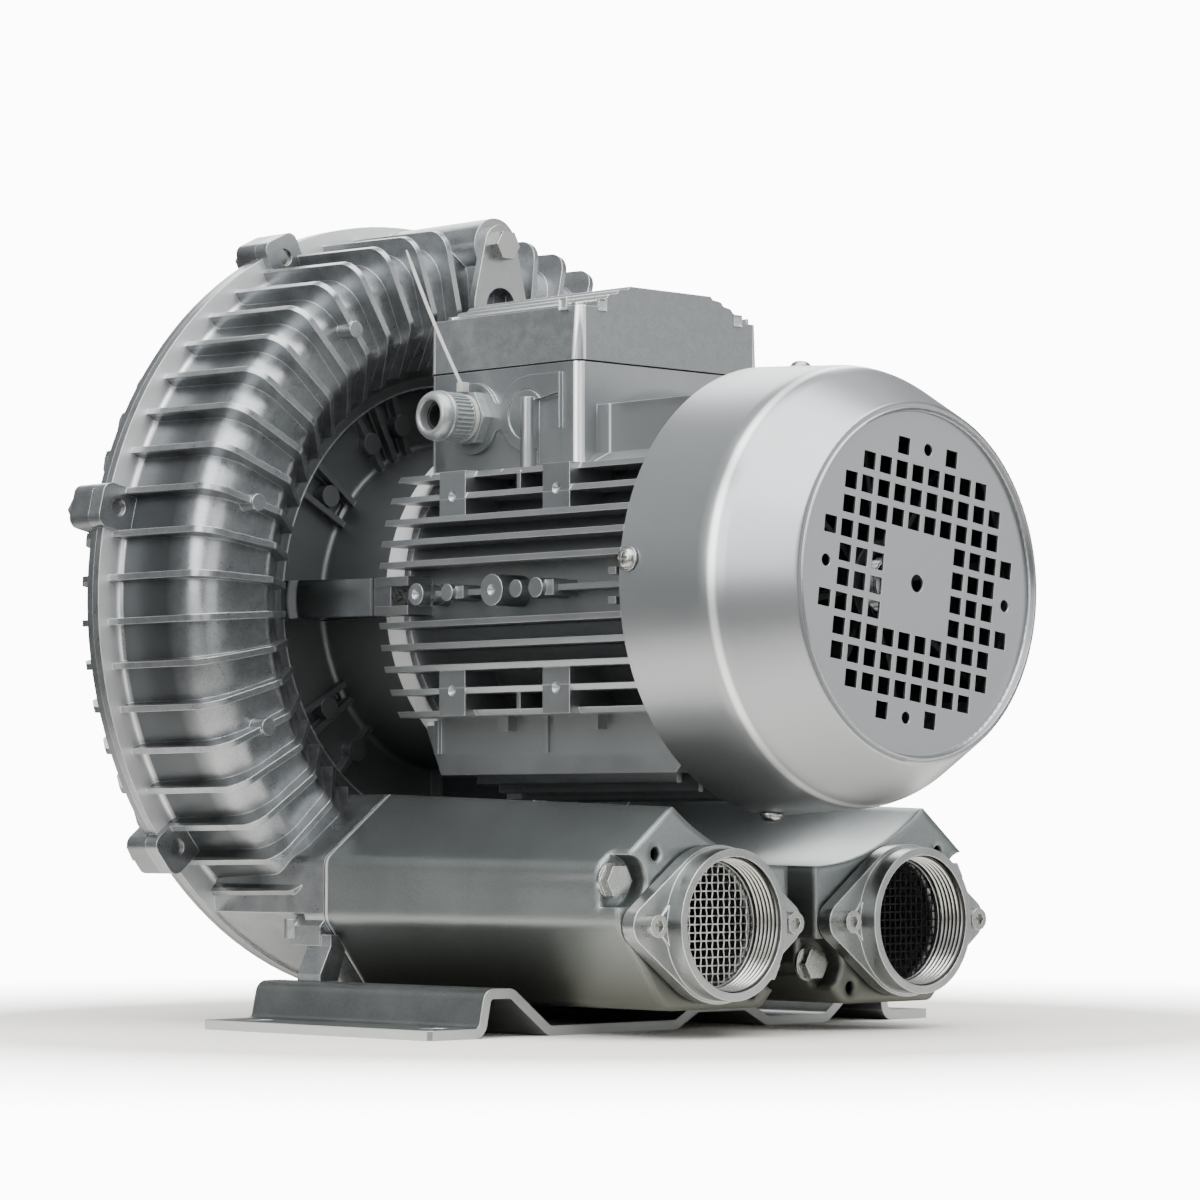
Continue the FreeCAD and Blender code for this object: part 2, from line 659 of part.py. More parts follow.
def bearing_ring(y, r_in, r_out, groove_r):
    ring = turned([(r_in, y, 1), (r_out, y, 1), (r_out, y + BEARING_W, 1), (r_in, y + BEARING_W, 1)])
    torus = Part.makeTorus(groove_r, BALL_R + 0.1, V(0, y + BEARING_W / 2, AXIS_Z), V(0, 1, 0))
    return ring.cut(torus)


def build_bearings():
    mid = (SHAFT_R + BEARING_R) / 2
    inner, outer, balls = [], [], []
    for y in (DRIVE_BEARING_Y, FAN_BEARING_Y):
        inner.append(bearing_ring(y, SHAFT_R + FIT, SHAFT_R + RACE_T, mid))
        outer.append(bearing_ring(y, BEARING_R - RACE_T, BEARING_R, mid))
        for i in range(BALL_COUNT):
            x, z = on_circle(mid, 90 + i * 360.0 / BALL_COUNT)
            balls.append(Part.makeSphere(BALL_R, V(x, y + BEARING_W / 2, z)))
    return group(inner), group(outer), group(balls)


def build_shaft():
    end = WHEEL_END_Y - 1.5
    front = FAN_Y - 6
    core_a = STATOR_Y - 12
    core_b = STATOR_Y + STATOR_L + 12
    shaft = turned([
        (0, front), (FAN_SEAT_R, front, 1), (FAN_SEAT_R, FAN_SHOULDER_Y), (SHAFT_R, FAN_SHOULDER_Y),
        (SHAFT_R, core_a), (CORE_SEAT_R, core_a, 1), (CORE_SEAT_R, core_b, 1), (SHAFT_R, core_b),
        (SHAFT_R, SHAFT_SHOULDER_Y), (WHEEL_SEAT_R, SHAFT_SHOULDER_Y), (WHEEL_SEAT_R, end, 1), (0, end)])
    key_y = SHAFT_SHOULDER_Y + 4
    slot = block(
        -KEY_W / 2, KEY_W / 2, key_y, key_y + KEY_L,
        AXIS_Z + WHEEL_SEAT_R - KEY_H / 2, AXIS_Z + WHEEL_SEAT_R + 5)
    hole = rod(M10_R, 0, AXIS_Z, end - 24, end + 1)
    groove_y = FAN_Y - 1.2
    groove = turned([(FAN_SEAT_R - 0.8, groove_y - 1.3), (FAN_SEAT_R + 2, groove_y - 1.3), (FAN_SEAT_R + 2, groove_y),
                     (FAN_SEAT_R - 0.8, groove_y)])
    return shaft.cut([slot, hole, groove])


def build_key():
    key_y = SHAFT_SHOULDER_Y + 4
    z = AXIS_Z + WHEEL_SEAT_R - KEY_H / 2
    return block(-KEY_W / 2, KEY_W / 2, key_y, key_y + KEY_L, z, z + KEY_H)


def build_impeller():
    ring_r = CHANNEL_R_IN - WHEEL_RING_T
    y0 = WHEEL_Y
    y1 = WHEEL_Y + WHEEL_W
    mid = (y0 + y1) / 2
    web_r = WHEEL_R - 8
    body = turned([
        (WHEEL_SEAT_R + FIT, SHAFT_SHOULDER_Y), (WHEEL_HUB_R, SHAFT_SHOULDER_Y),
        (WHEEL_HUB_R + 3, mid - WHEEL_DISC_T / 2, 6),
        (ring_r, mid - WHEEL_DISC_T / 2, 4), (ring_r, y0), (CHANNEL_R_IN - 0.5, y0),
        (CHANNEL_R_IN + 6, mid - WHEEL_WEB_T, 12),
        (web_r, mid - 1.2), (web_r, mid + 1.2), (CHANNEL_R_IN + 6, mid + WHEEL_WEB_T, 12), (CHANNEL_R_IN - 0.5, y1),
        (ring_r, y1), (ring_r, mid + WHEEL_DISC_T / 2, 4), (WHEEL_HUB_R + 3, mid + WHEEL_DISC_T / 2, 6),
        (WHEEL_HUB_R, WHEEL_END_Y), (WHEEL_SEAT_R + FIT, WHEEL_END_Y)])
    vane = outline_face(
        [(CHANNEL_R_IN - 3, y0), (WHEEL_R - 4, y0, 4), (WHEEL_R, mid, 0), (WHEEL_R - 4, y1, 4), (CHANNEL_R_IN - 3, y1)],
        lambda r, y: V(r, y, AXIS_Z - VANE_T / 2)).extrude(V(0, 0, VANE_T))
    vanes = [spin(vane, i * 360.0 / VANE_COUNT) for i in range(VANE_COUNT)]
    body = body.multiFuse(vanes)
    key_y = SHAFT_SHOULDER_Y
    keyway = block(
        -KEY_W / 2, KEY_W / 2, key_y - 1, WHEEL_END_Y + 1, AXIS_Z, AXIS_Z + WHEEL_SEAT_R + KEY_H / 2 + 0.2)
    cuts = [keyway]
    for i in range(6):
        x, z = on_circle(72, 30 + 60 * i)
        cuts.append(rod(11, x, z, y0, y1))
    return body.cut(cuts)


def build_rotor_core():
    y0 = STATOR_Y
    y1 = STATOR_Y + STATOR_L
    r = STATOR_BORE - AIR_GAP
    return turned([
        (CORE_SEAT_R + FIT, y0), (r - 14, y0), (r - 14, y0 - 8, 1), (r - 3, y0 - 8, 1), (r - 3, y0), (r, y0),
        (r, y1), (r - 3, y1), (r - 3, y1 + 8, 1), (r - 14, y1 + 8, 1), (r - 14, y1), (CORE_SEAT_R + FIT, y1)])


def build_stator():
    y0 = STATOR_Y
    y1 = STATOR_Y + STATOR_L
    core = turned([(STATOR_BORE, y0), (STATOR_R - FIT, y0), (STATOR_R - FIT, y1), (STATOR_BORE, y1)])
    mid = (STATOR_BORE + STATOR_R) / 2
    windings = []
    for a, b in ((y0 - WINDING_L, y0), (y1, y1 + WINDING_L)):
        windings.append(turned([(mid - 9, a, 7), (mid + 9, a, 7), (mid + 9, b, 1), (mid - 9, b, 1)]))
    return core, group(windings)


def build_seals():
    seat = DRIVE_BEARING_Y + BEARING_W + 4
    seals = []
    for y0 in (seat, FAN_BEARING_Y - 1.5 - 4.0 - SEAL_W):
        y1 = y0 + SEAL_W
        seals.append(turned([
            (SEAL_R, y0, 1), (SEAL_R, y1), (SEAL_R - 2, y1), (SEAL_R - 2, y0 + 2, 1), (SHAFT_R + 2.2, y0 + 2, 1),
            (SHAFT_R + 1.0, y1 - 1.5), (SHAFT_R + 0.35, y1 - 2.5), (SHAFT_R + 1.2, y0)]))
    return group(seals)


def build_wave_spring():
    y = FAN_BEARING_Y - 1.5
    ring = turned([(BEARING_R - 4, y), (BEARING_R - 0.4, y), (BEARING_R - 0.4, y + 1.5), (BEARING_R - 4, y + 1.5)])
    notches = []
    for i in range(3):
        notch = block(BEARING_R - 8, BEARING_R + 2, y - 0.1, y + 0.6, AXIS_Z - 7, AXIS_Z + 7)
        notches.append(spin(notch, 120 * i))
        other = block(BEARING_R - 8, BEARING_R + 2, y + 0.9, y + 1.6, AXIS_Z - 7, AXIS_Z + 7)
        notches.append(spin(other, 60 + 120 * i))
    return ring.cut(notches)


# motor barrel

def barrel_fins():
    fins = []
    lean = 0.09
    for z in FIN_Z:
        end = FIN_END_Y + lean * (z - FIN_Z[0])
        for s in (-1, 1):
            level = AXIS_Z + s * z
            fins.append(block(-FIN_R, FIN_R, BARREL_FRONT_Y, end, level - FIN_T / 2, level + FIN_T / 2))
    comb = fins[0].multiFuse(fins[1:])
    return comb.common(rod(FIN_R, 0, AXIS_Z, BARREL_FRONT_Y, NECK_END_Y))


def dimple_x(side, face, y, z):
    """Shallow centre mark in a face that looks to one side."""
    return Part.makeCone(0, 2.6, 3, V(side * (face - 2.8), y, z), V(side, 0, 0))


def boss_x(side, y, z, radius):
    """Round boss that stands out of the barrel to one side."""
    return Part.makeCylinder(radius, BOSS_FACE_X - BARREL_R + 4, V(side * (BARREL_R - 4), y, z), V(side, 0, 0))


def barrel_skirt():
    """Open box below the barrel, slanted where it meets the casing."""
    half = SKIRT_W / 2
    low = AXIS_Z - SKIRT_DEPTH
    high = AXIS_Z - SKIRT_TOP - FIN_T / 2
    y0 = BARREL_FRONT_Y
    (y_high, z_high), (y_low, z_low) = SKIRT_CUT
    side = [
        (y0, high), (y0, low + SKIRT_CHAMFER), (y0 + SKIRT_CHAMFER, low),
        (y_low, z_low), (y_high, z_high), (y_high, high)]
    skirt = outline_face(side, lambda y, z: V(-half, y, z)).extrude(V(SKIRT_W, 0, 0))
    wall = SKIRT_WALL
    skirt = skirt.cut(block(-half + wall, half - wall, y0 + 12, y_low - wall, low - 1, AXIS_Z - 40))
    ribs = []
    for y in SKIRT_RIB_Y:
        for s in (-1, 1):
            ribs.append(block(s * (half + 2), s * (half - 4), y - 1.5, y + 1.5, 127, high))
    return [skirt] + ribs


def cable_entries():
    """Raised face round the gland and the shut entry, with the rib and the pocket in front of them."""
    x = -BOX_HALF + 1
    depth = GLAND_BOSS_T + 1
    out = V(-1, 0, 0)
    outer = Part.makeCylinder(GLAND_BOSS_R, depth, V(x, GLAND_Y, GLAND_Z), out)
    blank = Part.makeCylinder(BLANK_R, depth, V(x, BLANK_Y, GLAND_Z), out)
    # neck between the two round faces, hollowed above and below
    apart = GLAND_Y - BLANK_Y
    reach = GLAND_BOSS_R + ENTRY_FILLET
    other = BLANK_R + ENTRY_FILLET
    along = (reach ** 2 - other ** 2 + apart ** 2) / (2 * apart)
    across = math.sqrt(reach ** 2 - along ** 2)
    neck = block(x, x - depth, GLAND_Y - along - 3, GLAND_Y - along + 3, GLAND_Z - across, GLAND_Z + across)
    rounds = [
        Part.makeCylinder(ENTRY_FILLET, 9, V(x + 2, GLAND_Y - along, GLAND_Z + k * across), out)
        for k in (-1, 1)]
    neck = neck.cut(rounds)
    plate = block(x, x - depth, ENTRY_EDGE_Y, BLANK_Y, GLAND_Z - 8, ENTRY_TOP_Z)
    low = AXIS_Z + SIDE_FOOT_Z
    rib = Part.makeCylinder(BOX_RIB_R, BOX_RIB_TOP - low, V(x - depth, BOX_RIB_Y, low), V(0, 0, 1))
    raised = outer.multiFuse([blank, neck, plate])
    ring = Part.makeCylinder(BLANK_RING_R, 2, V(x - depth + 0.7, BLANK_Y, GLAND_Z), out)
    ring = ring.cut(Part.makeCylinder(BLANK_RING_R - 0.9, 6, V(x, BLANK_Y, GLAND_Z), out))
    pocket = outline_face(
        [(BOX_RIB_Y - BOX_RIB_R, low), (BOX_RIB_Y - BOX_RIB_R, 289.6), (ENTRY_EDGE_Y + 0.6, 292.2), (ENTRY_EDGE_Y + 0.6, low)],
        lambda y, z: V(-BOX_HALF + 1.2, y, z)).extrude(V(-9, 0, 0))
    return raised.cut([ring, pocket]), rib, pocket


def build_barrel():
    y0 = BARREL_FRONT_Y
    y1 = NECK_END_Y
    adds = [barrel_fins()]
    pads = []
    for s in (-1, 1):
        for up in (-1, 1):
            for y in PAD_Y:
                z_a = AXIS_Z + up * PAD_Z[0]
                z_b = AXIS_Z + up * (PAD_Z[1] + FIN_T / 2)
                pads.append(block(s * (BARREL_R - 20), s * PAD_X, y - PAD_W / 2, y + PAD_W / 2, z_a, z_b))
    adds += pads
    # row of round bosses at shaft height, on a narrow web
    for s in (-1, 1):
        adds.append(block(s * (BARREL_R - 3), s * (BARREL_R + 12), y0 + 6, 22, AXIS_Z - 1.4, AXIS_Z + 1.4))
        for y, r, stretch, dimple in BOSS_ROW:
            adds.append(boss_x(s, y, AXIS_Z, r))
            if stretch:
                adds.append(block(
                    s * (BARREL_R - 2), s * (BOSS_FACE_X - 3), y - r - stretch, y,
                    AXIS_Z - r + 1, AXIS_Z + r - 1))
        for up in (-1, 1):
            # two nubs by the fan cover, an upright web between the outer fins and two small feet below
            rib_z = AXIS_Z + up * 6.6
            adds.append(block(s * (BARREL_R - 2), s * 96, y0 + 6, y0 + 11, rib_z - 2.4, rib_z + 0.8))
            adds.append(block(
                s * 60, s * (FIN_R - 16), -42.2, -39.8, AXIS_Z + up * FIN_Z[-2], AXIS_Z + up * FIN_Z[-1]))
        for y in (-8.0, -67.0):
            adds.append(block(s * 58, s * 66, y - 7, y, AXIS_Z - FIN_Z[-1] - 8, AXIS_Z - FIN_Z[-1]))
    # lugs on the arms of the casing; those at the sides have two long cheeks
    for i in range(4):
        lug = block(
            BARREL_R - 3, ARM_R - 1, ARM_END_Y - LUG_DEPTH, ARM_END_Y,
            AXIS_Z - ARM_W / 2 + 0.4, AXIS_Z + ARM_W / 2 - 0.4)
        adds.append(spin(lug, 90 * i))
        if i % 2:
            continue
        for s in (-1, 1):
            cheek = block(
                BARREL_R - 3, ARM_R, CHEEK_END_Y, ARM_END_Y - 2,
                AXIS_Z + s * (ARM_W / 2 - CHEEK_T), AXIS_Z + s * ARM_W / 2)
            adds.append(spin(cheek, 90 * i))
    # bosses behind the screws of the end shield
    for i in range(4):
        x, z = on_circle(SHIELD_SCREW_R, 45 + 90 * i)
        adds.append(rod(M5_R + 3.2, x, z, y0, y0 + 17))
    # front saddle at the top and the open skirt below
    half = SADDLE_W / 2
    adds.append(block(-half, half, y0, BOX_FRONT_Y + 6, AXIS_Z + 60, AXIS_Z + SADDLE_TOP))
    adds += barrel_skirt()
    # walls of the terminal box, cast with the barrel
    box = block(-BOX_HALF, BOX_HALF, BOX_FRONT_Y, BOX_BACK_Y, AXIS_Z + 56, BOX_SEAM)
    edges = [e for e in box.Edges if abs(e.Vertexes[0].Z - e.Vertexes[1].Z) > 5]
    box = box.makeFillet(4, edges)
    w = BOX_WALL
    cavity = block(-BOX_HALF + w, BOX_HALF - w, BOX_FRONT_Y + w, BOX_BACK_Y - w, BOX_SEAM - BOX_DEPTH, BOX_SEAM + 1)
    box = box.cut(cavity)
    for x, y in lid_screw_places():
        box = box.fuse(Part.makeCylinder(5.2, BOX_DEPTH + 2, V(x, y, BOX_SEAM - BOX_DEPTH - 2), V(0, 0, 1)))
    raised, rib, pocket = cable_entries()
    adds += [box.cut(pocket), raised, rib]
    # posts of the terminal board
    for s in (-1, 1):
        adds.append(Part.makeCylinder(4, 10, V(s * 22, BOARD_Y, AXIS_Z + BARREL_R - 5), V(0, 0, 1)))
    tube = rod(BARREL_R, 0, AXIS_Z, y0, y1).fuse(rod(COLLAR_R, 0, AXIS_Z, COLLAR_Y, y1))
    body = tube.multiFuse(adds)
    # bores
    cuts = [rod(STATOR_R, 0, AXIS_Z, y0 - 1, y1 + 1)]
    for i in range(4):
        x, z = on_circle(ARM_SCREW_R, 90 * i)
        cuts.append(rod(M6_R + 0.3, x, z, FIN_END_Y - 10, ARM_END_Y + 1))
        cuts.append(rod(SCREW_SEAT_R, x, z, ARM_END_Y - 40, ARM_END_Y - LUG_GRIP))
        x, z = on_circle(SHIELD_SCREW_R, 45 + 90 * i)
        cuts.append(rod(M5_R + FIT, x, z, y0 - 1, y0 + 14))
    for s in (-1, 1):
        for up in (-1, 1):
            for y in PAD_Y:
                cuts.append(dimple_x(s, PAD_X, y, AXIS_Z + up * PAD_DIMPLE_Z))
        for y, r, stretch, dimple in BOSS_ROW:
            if dimple:
                cuts.append(dimple_x(s, BOSS_FACE_X, y, AXIS_Z))
    cuts.append(Part.makeCylinder(GLAND_THREAD_R, 12, V(-BOX_HALF - 6, GLAND_Y, GLAND_Z), V(1, 0, 0)))
    cuts.append(Part.makeCylinder(9, 20, V(0, 24, AXIS_Z + BARREL_R - 15), V(0, 0, 1)))
    for x, y in lid_screw_places():
        cuts.append(Part.makeCylinder(2 + FIT, 16, V(x, y, BOX_SEAM - 15), V(0, 0, 1)))
    return body.cut(cuts).removeSplitter()


SHIELD_SCREW_R = 79.4
BOARD_Y = -8.0
LUG_DEPTH = 12.0
LUG_GRIP = 5.5
CHEEK_END_Y = 22.0
CHEEK_T = 4.3
SCREW_SEAT_R = 5.3
SIDE_FOOT_Z = 58.0


def lid_screw_places():
    return [(sx * (BOX_HALF - 8.5), y) for sx in (-1, 1) for y in (BOX_FRONT_Y + 8.5, BOX_BACK_Y - 8.5)]


def build_housing_screws():
    screws = []
    for i in range(4):
        x, z = on_circle(ARM_SCREW_R, 90 * i)
        screws.append(socket_screw(x, z, ARM_END_Y - LUG_GRIP, 1, LUG_GRIP + 16, M6_R))
    return group(screws)


def build_shield():
    y_mate = BARREL_FRONT_Y
    y_out = y_mate - SHIELD_T
    seat_end = FAN_BEARING_Y - 1.5
    boss_out = seat_end - 4.0 - SEAL_W
    body = turned([
        (BEARING_R + FIT, FAN_BEARING_Y + BEARING_W + 1), (SHIELD_BOSS_R, FAN_BEARING_Y + BEARING_W + 1),
        (SHIELD_BOSS_R, y_mate - 4, 3), (STATOR_R - 6, y_mate - 4, 3), (STATOR_R - 6, y_mate + 4),
        (STATOR_R - FIT, y_mate + 4), (STATOR_R - FIT, y_mate), (SHIELD_R - 14, y_mate), (SHIELD_R - 14, y_mate - 1),
        (SHIELD_R, y_mate - 1), (SHIELD_R, y_out, 3), (SHIELD_BOSS_R + 10, y_out, 6), (SHIELD_BOSS_R, boss_out, 2),
        (SEAL_R + FIT, boss_out), (SEAL_R + FIT, boss_out + SEAL_W), (BEARING_R - 5, boss_out + SEAL_W),
        (BEARING_R - 5, seat_end), (BEARING_R + FIT, seat_end)])
    adds = []
    for i in range(4):
        lug = block(SHIELD_R - 8, SHIELD_LUG_R, y_out, y_mate - 2, AXIS_Z - 8, AXIS_Z + 8)
        lug = lug.common(rod(SHIELD_LUG_R, 0, AXIS_Z, y_out, y_mate))
        adds.append(spin(lug, -SCREW_TURN + 90 * i))
        rib = block(SHIELD_BOSS_R - 2, SHIELD_R - 6, y_out - 5, y_out + 3, AXIS_Z - 2, AXIS_Z + 2)
        adds.append(spin(rib, 45 + 90 * i + 22))
        adds.append(spin(rib, 45 + 90 * i - 22))
    body = body.multiFuse(adds)
    cuts = []
    for i in range(4):
        x, z = on_circle(SHIELD_SCREW_R, 45 + 90 * i)
        cuts.append(rod(M5_R + 0.3, x, z, y_out - 1, y_mate + 1))
        hole = Part.makeCylinder(M5_R + FIT, 16, V(COVER_R - 14, COVER_SCREW_Y, AXIS_Z), V(1, 0, 0))
        cuts.append(spin(hole, -SCREW_TURN + 90 * i))
    return body.cut(cuts).removeSplitter()


COVER_SCREW_Y = COVER_EDGE_Y - 5.0
SHIELD_LUG_R = COVER_R - COVER_SHEET - 0.9


def build_shield_screws():
    screws = []
    for i in range(4):
        x, z = on_circle(SHIELD_SCREW_R, 45 + 90 * i)
        screws.append(socket_screw(x, z, BARREL_FRONT_Y - SHIELD_T, 1, SHIELD_T + 12, M5_R))
    return group(screws)


# fan and cover

def build_fan():
    y0 = FAN_Y
    y1 = FAN_Y + FAN_W
    hub = turned([
        (FAN_SEAT_R + FIT, y0), (20, y0, 1), (23, y1, 1), (FAN_R, y1), (FAN_R, y1 + FAN_SHEET), (22, y1 + FAN_SHEET, 1),
        (22, y1 + 5), (FAN_SEAT_R + FIT, y1 + 5)])
    blade = outline_face(
        [(19, y0 + 6), (34, y0 + 2, 6), (FAN_R, y0, 5), (FAN_R, y1 + 1), (19, y1 + 1)],
        lambda r, y: V(r, y, AXIS_Z - FAN_SHEET / 2)).extrude(V(0, 0, FAN_SHEET))
    return hub.multiFuse([spin(blade, 360.0 / FAN_BLADES * i + 10) for i in range(FAN_BLADES)])


def build_fan_clip():
    y = FAN_Y - 1.2
    r0, r1 = FAN_SEAT_R - 0.75, FAN_SEAT_R + 3
    ring = turned([(r0, y - 1.2), (r1, y - 1.2), (r1, y - 0.05), (r0, y - 0.05)])
    return ring.cut(block(-3, 3, y - 3, y + 3, AXIS_Z + 5, AXIS_Z + 30))


def grille_places():
    squares = []
    for row, first, last in (
            (5.5, 1.5, 1.5), (4.5, 0.5, 3.5), (3.5, 0.5, 4.5),
            (2.5, 0.5, 4.5), (1.5, 2.5, 5.5), (0.5, 2.5, 4.5)):
        u = first
        while u <= last + 0.01:
            for su in (-1, 1):
                for sv in (-1, 1):
                    squares.append((su * u * GRILLE_PITCH, sv * row * GRILLE_PITCH))
            u += 1.0
    return squares


def build_fan_cover():
    t = COVER_SHEET
    y_plate = COVER_END_Y + GRILLE_RECESS
    outer = turned([
        (0, COVER_END_Y - 1), (COVER_RIM_R - 2.5, COVER_END_Y - 1),
        (COVER_RIM_R - 2.5, COVER_END_Y, 0.8), (COVER_RIM_R, COVER_END_Y, 2),
        (COVER_BEND_R, COVER_BEND_Y, 30), (COVER_R, COVER_EDGE_Y), (0, COVER_EDGE_Y)])
    front = turned([
        (0, COVER_END_Y - 2), (COVER_RIM_R - 2.5, COVER_END_Y - 2), (COVER_RIM_R - 3.5, y_plate, 1), (0, y_plate)])
    inner = turned([
        (0, y_plate + t), (COVER_RIM_R - 3, y_plate + t, 2), (COVER_BEND_R - t, COVER_BEND_Y + 0.5, 30),
        (COVER_R - t, COVER_EDGE_Y), (COVER_R - t, COVER_EDGE_Y + 2), (0, COVER_EDGE_Y + 2)])
    body = outer.cut([front, inner])
    cuts = []
    s = GRILLE_SQUARE / 2
    for u, w in grille_places():
        cuts.append(block(u - s, u + s, COVER_END_Y - 2, y_plate + t + 3, AXIS_Z + w - s, AXIS_Z + w + s))
    for u, w in ((0, 5.6), (0, -5.6), (5.6, 0), (-5.6, 0)):
        cuts.append(rod(GRILLE_ROUND / 2, u * GRILLE_PITCH, AXIS_Z + w * GRILLE_PITCH, COVER_END_Y - 2, y_plate + t + 3))
    cuts.append(rod(4, 0, AXIS_Z, COVER_END_Y - 2, y_plate + t + 3))
    for i in range(4):
        hole = Part.makeCylinder(M5_R + 0.4, 10, V(COVER_R - 5, COVER_SCREW_Y, AXIS_Z), V(1, 0, 0))
        cuts.append(spin(hole, COVER_TURN - SCREW_TURN + 90 * i))
    return spin(body.cut(cuts), -COVER_TURN)


def build_cover_screws():
    screws = []
    for i in range(4):
        head = Part.makeCylinder(4.6, 2.6, V(COVER_R - 0.1, COVER_SCREW_Y, AXIS_Z), V(1, 0, 0))
        head = head.makeFillet(1.4, [e for e in head.Edges if e.Closed and e.CenterOfMass.x > COVER_R + 2])
        shank = Part.makeCylinder(M5_R, 12.0, V(COVER_R - 12.0, COVER_SCREW_Y, AXIS_Z), V(1, 0, 0))
        screws.append(spin(head.fuse(shank), -SCREW_TURN + 90 * i))
    return group(screws)


# terminal box

LID_Z = BOX_SEAM + BOX_GASKET_T


def lid_outline(inset_by):
    """Stepped arch of the lid seen from the front."""
    half = BOX_HALF + 0.4 - inset_by
    drop = (LID_TOP_Z - LID_EDGE_Z - 0.4) / 4
    z = LID_TOP_Z - inset_by
    pts = [(-half, LID_Z - (1 if inset_by else 0)), (half, LID_Z - (1 if inset_by else 0)), (half - 1.0, LID_EDGE_Z - inset_by)]
    steps = []
    for i in range(len(LID_STEP_X) - 1):
        x0 = LID_STEP_X[i] - inset_by
        x1 = LID_STEP_X[i + 1] - inset_by
        level = z - drop * i
        steps.append((x0, level))
        if i < len(LID_STEP_X) - 2:
            steps.append((x0 + 1.2, level - drop * 0.55))
            steps.append((x1 - 0.8, level - drop * 0.8))
        else:
            steps.append((x0 + 1.0, LID_EDGE_Z - inset_by))
    right = list(reversed(steps))
    left = [(-x, level) for x, level in steps]
    return pts + right + left + [(-half + 1.0, LID_EDGE_Z - inset_by)]


def build_lid():
    y0 = BOX_FRONT_Y - 0.4
    y1 = BOX_BACK_Y + 0.4
    lid = slab_y(lid_outline(0), y0, y1)
    upright = [e for e in lid.Edges
               if abs(e.Vertexes[0].Z - e.Vertexes[-1].Z) > 15 and abs(abs(e.CenterOfMass.x) - BOX_HALF) < 2]
    lid = lid.makeFillet(4, upright)
    inner = slab_y(lid_outline(LID_WALL), y0 + LID_WALL, y1 - LID_WALL)
    lid = lid.cut(inner)
    posts = []
    cuts = []
    for x, y in lid_screw_places():
        posts.append(Part.makeCylinder(5.2, LID_EDGE_Z - LID_Z - 2, V(x, y, LID_Z), V(0, 0, 1)))
        cuts.append(Part.makeCylinder(2.3, 60, V(x, y, LID_Z - 5), V(0, 0, 1)))
        cuts.append(Part.makeCylinder(4.2, 30, V(x, y, LID_EDGE_Z - 3.4), V(0, 0, 1)))
    lid = lid.multiFuse(posts).cut(cuts)
    return lid.removeSplitter()


def build_lid_screws():
    screws = []
    for x, y in lid_screw_places():
        seat = LID_EDGE_Z - 3.4
        head = Part.makeCylinder(3.9, 2.8, V(x, y, seat), V(0, 0, 1))
        slot = block(x - 5, x + 5, y - 0.5, y + 0.5, seat + 1.6, seat + 4)
        shank = Part.makeCylinder(2.0, seat - BOX_SEAM + 12, V(x, y, BOX_SEAM - 12), V(0, 0, 1))
        screws.append(head.cut(slot).fuse(shank))
    return group(screws)


def build_box_gasket():
    w = BOX_WALL
    ring = block(-BOX_HALF + 0.6, BOX_HALF - 0.6, BOX_FRONT_Y + 0.6, BOX_BACK_Y - 0.6, BOX_SEAM, LID_Z)
    hole = block(-BOX_HALF + w, BOX_HALF - w, BOX_FRONT_Y + w, BOX_BACK_Y - w, BOX_SEAM - 1, LID_Z + 1)
    ring = ring.cut(hole)
    for x, y in lid_screw_places():
        ring = ring.fuse(Part.makeCylinder(5.2, BOX_GASKET_T, V(x, y, BOX_SEAM), V(0, 0, 1)))
    for x, y in lid_screw_places():
        ring = ring.cut(Part.makeCylinder(2.3, 5, V(x, y, BOX_SEAM - 1), V(0, 0, 1)))
    return ring.removeSplitter()


BOARD_Z = AXIS_Z + BARREL_R + 5


def build_board():
    board = block(-30, 30, BOARD_Y - 18, BOARD_Y + 18, BOARD_Z, BOARD_Z + 6)
    walls = [block(x - 1, x + 1, BOARD_Y - 18, BOARD_Y + 18, BOARD_Z + 6, BOARD_Z + 12) for x in (-10, 10)]
    board = board.multiFuse(walls)
    holes = [Part.makeCylinder(2 + FIT, 20, V(x, y, BOARD_Z - 5), V(0, 0, 1)) for x, y in stud_places()]
    return board.cut(holes).removeSplitter()


def stud_places():
    return [(x, BOARD_Y + y) for x in (-20, 0, 20) for y in (-10, 10)]


def build_studs():
    studs = []
    for x, y in stud_places():
        stud = Part.makeCylinder(2, 17, V(x, y, BOARD_Z), V(0, 0, 1))
        nut = Part.makeCylinder(3.8, 3.2, V(x, y, BOARD_Z + 6), V(0, 0, 1))
        studs.append(stud.fuse(nut).removeSplitter())
    return group(studs)


# cable gland and tie

GLAND_X = -BOX_HALF - GLAND_BOSS_T


def about_gland(points):
    """Solid turned about the gland line from points (distance out of the box, radius)."""
    face = outline_face(points, lambda d, r: V(GLAND_X - d, GLAND_Y, GLAND_Z + r))
    return face.revolve(V(GLAND_X, GLAND_Y, GLAND_Z), V(1, 0, 0), 360)


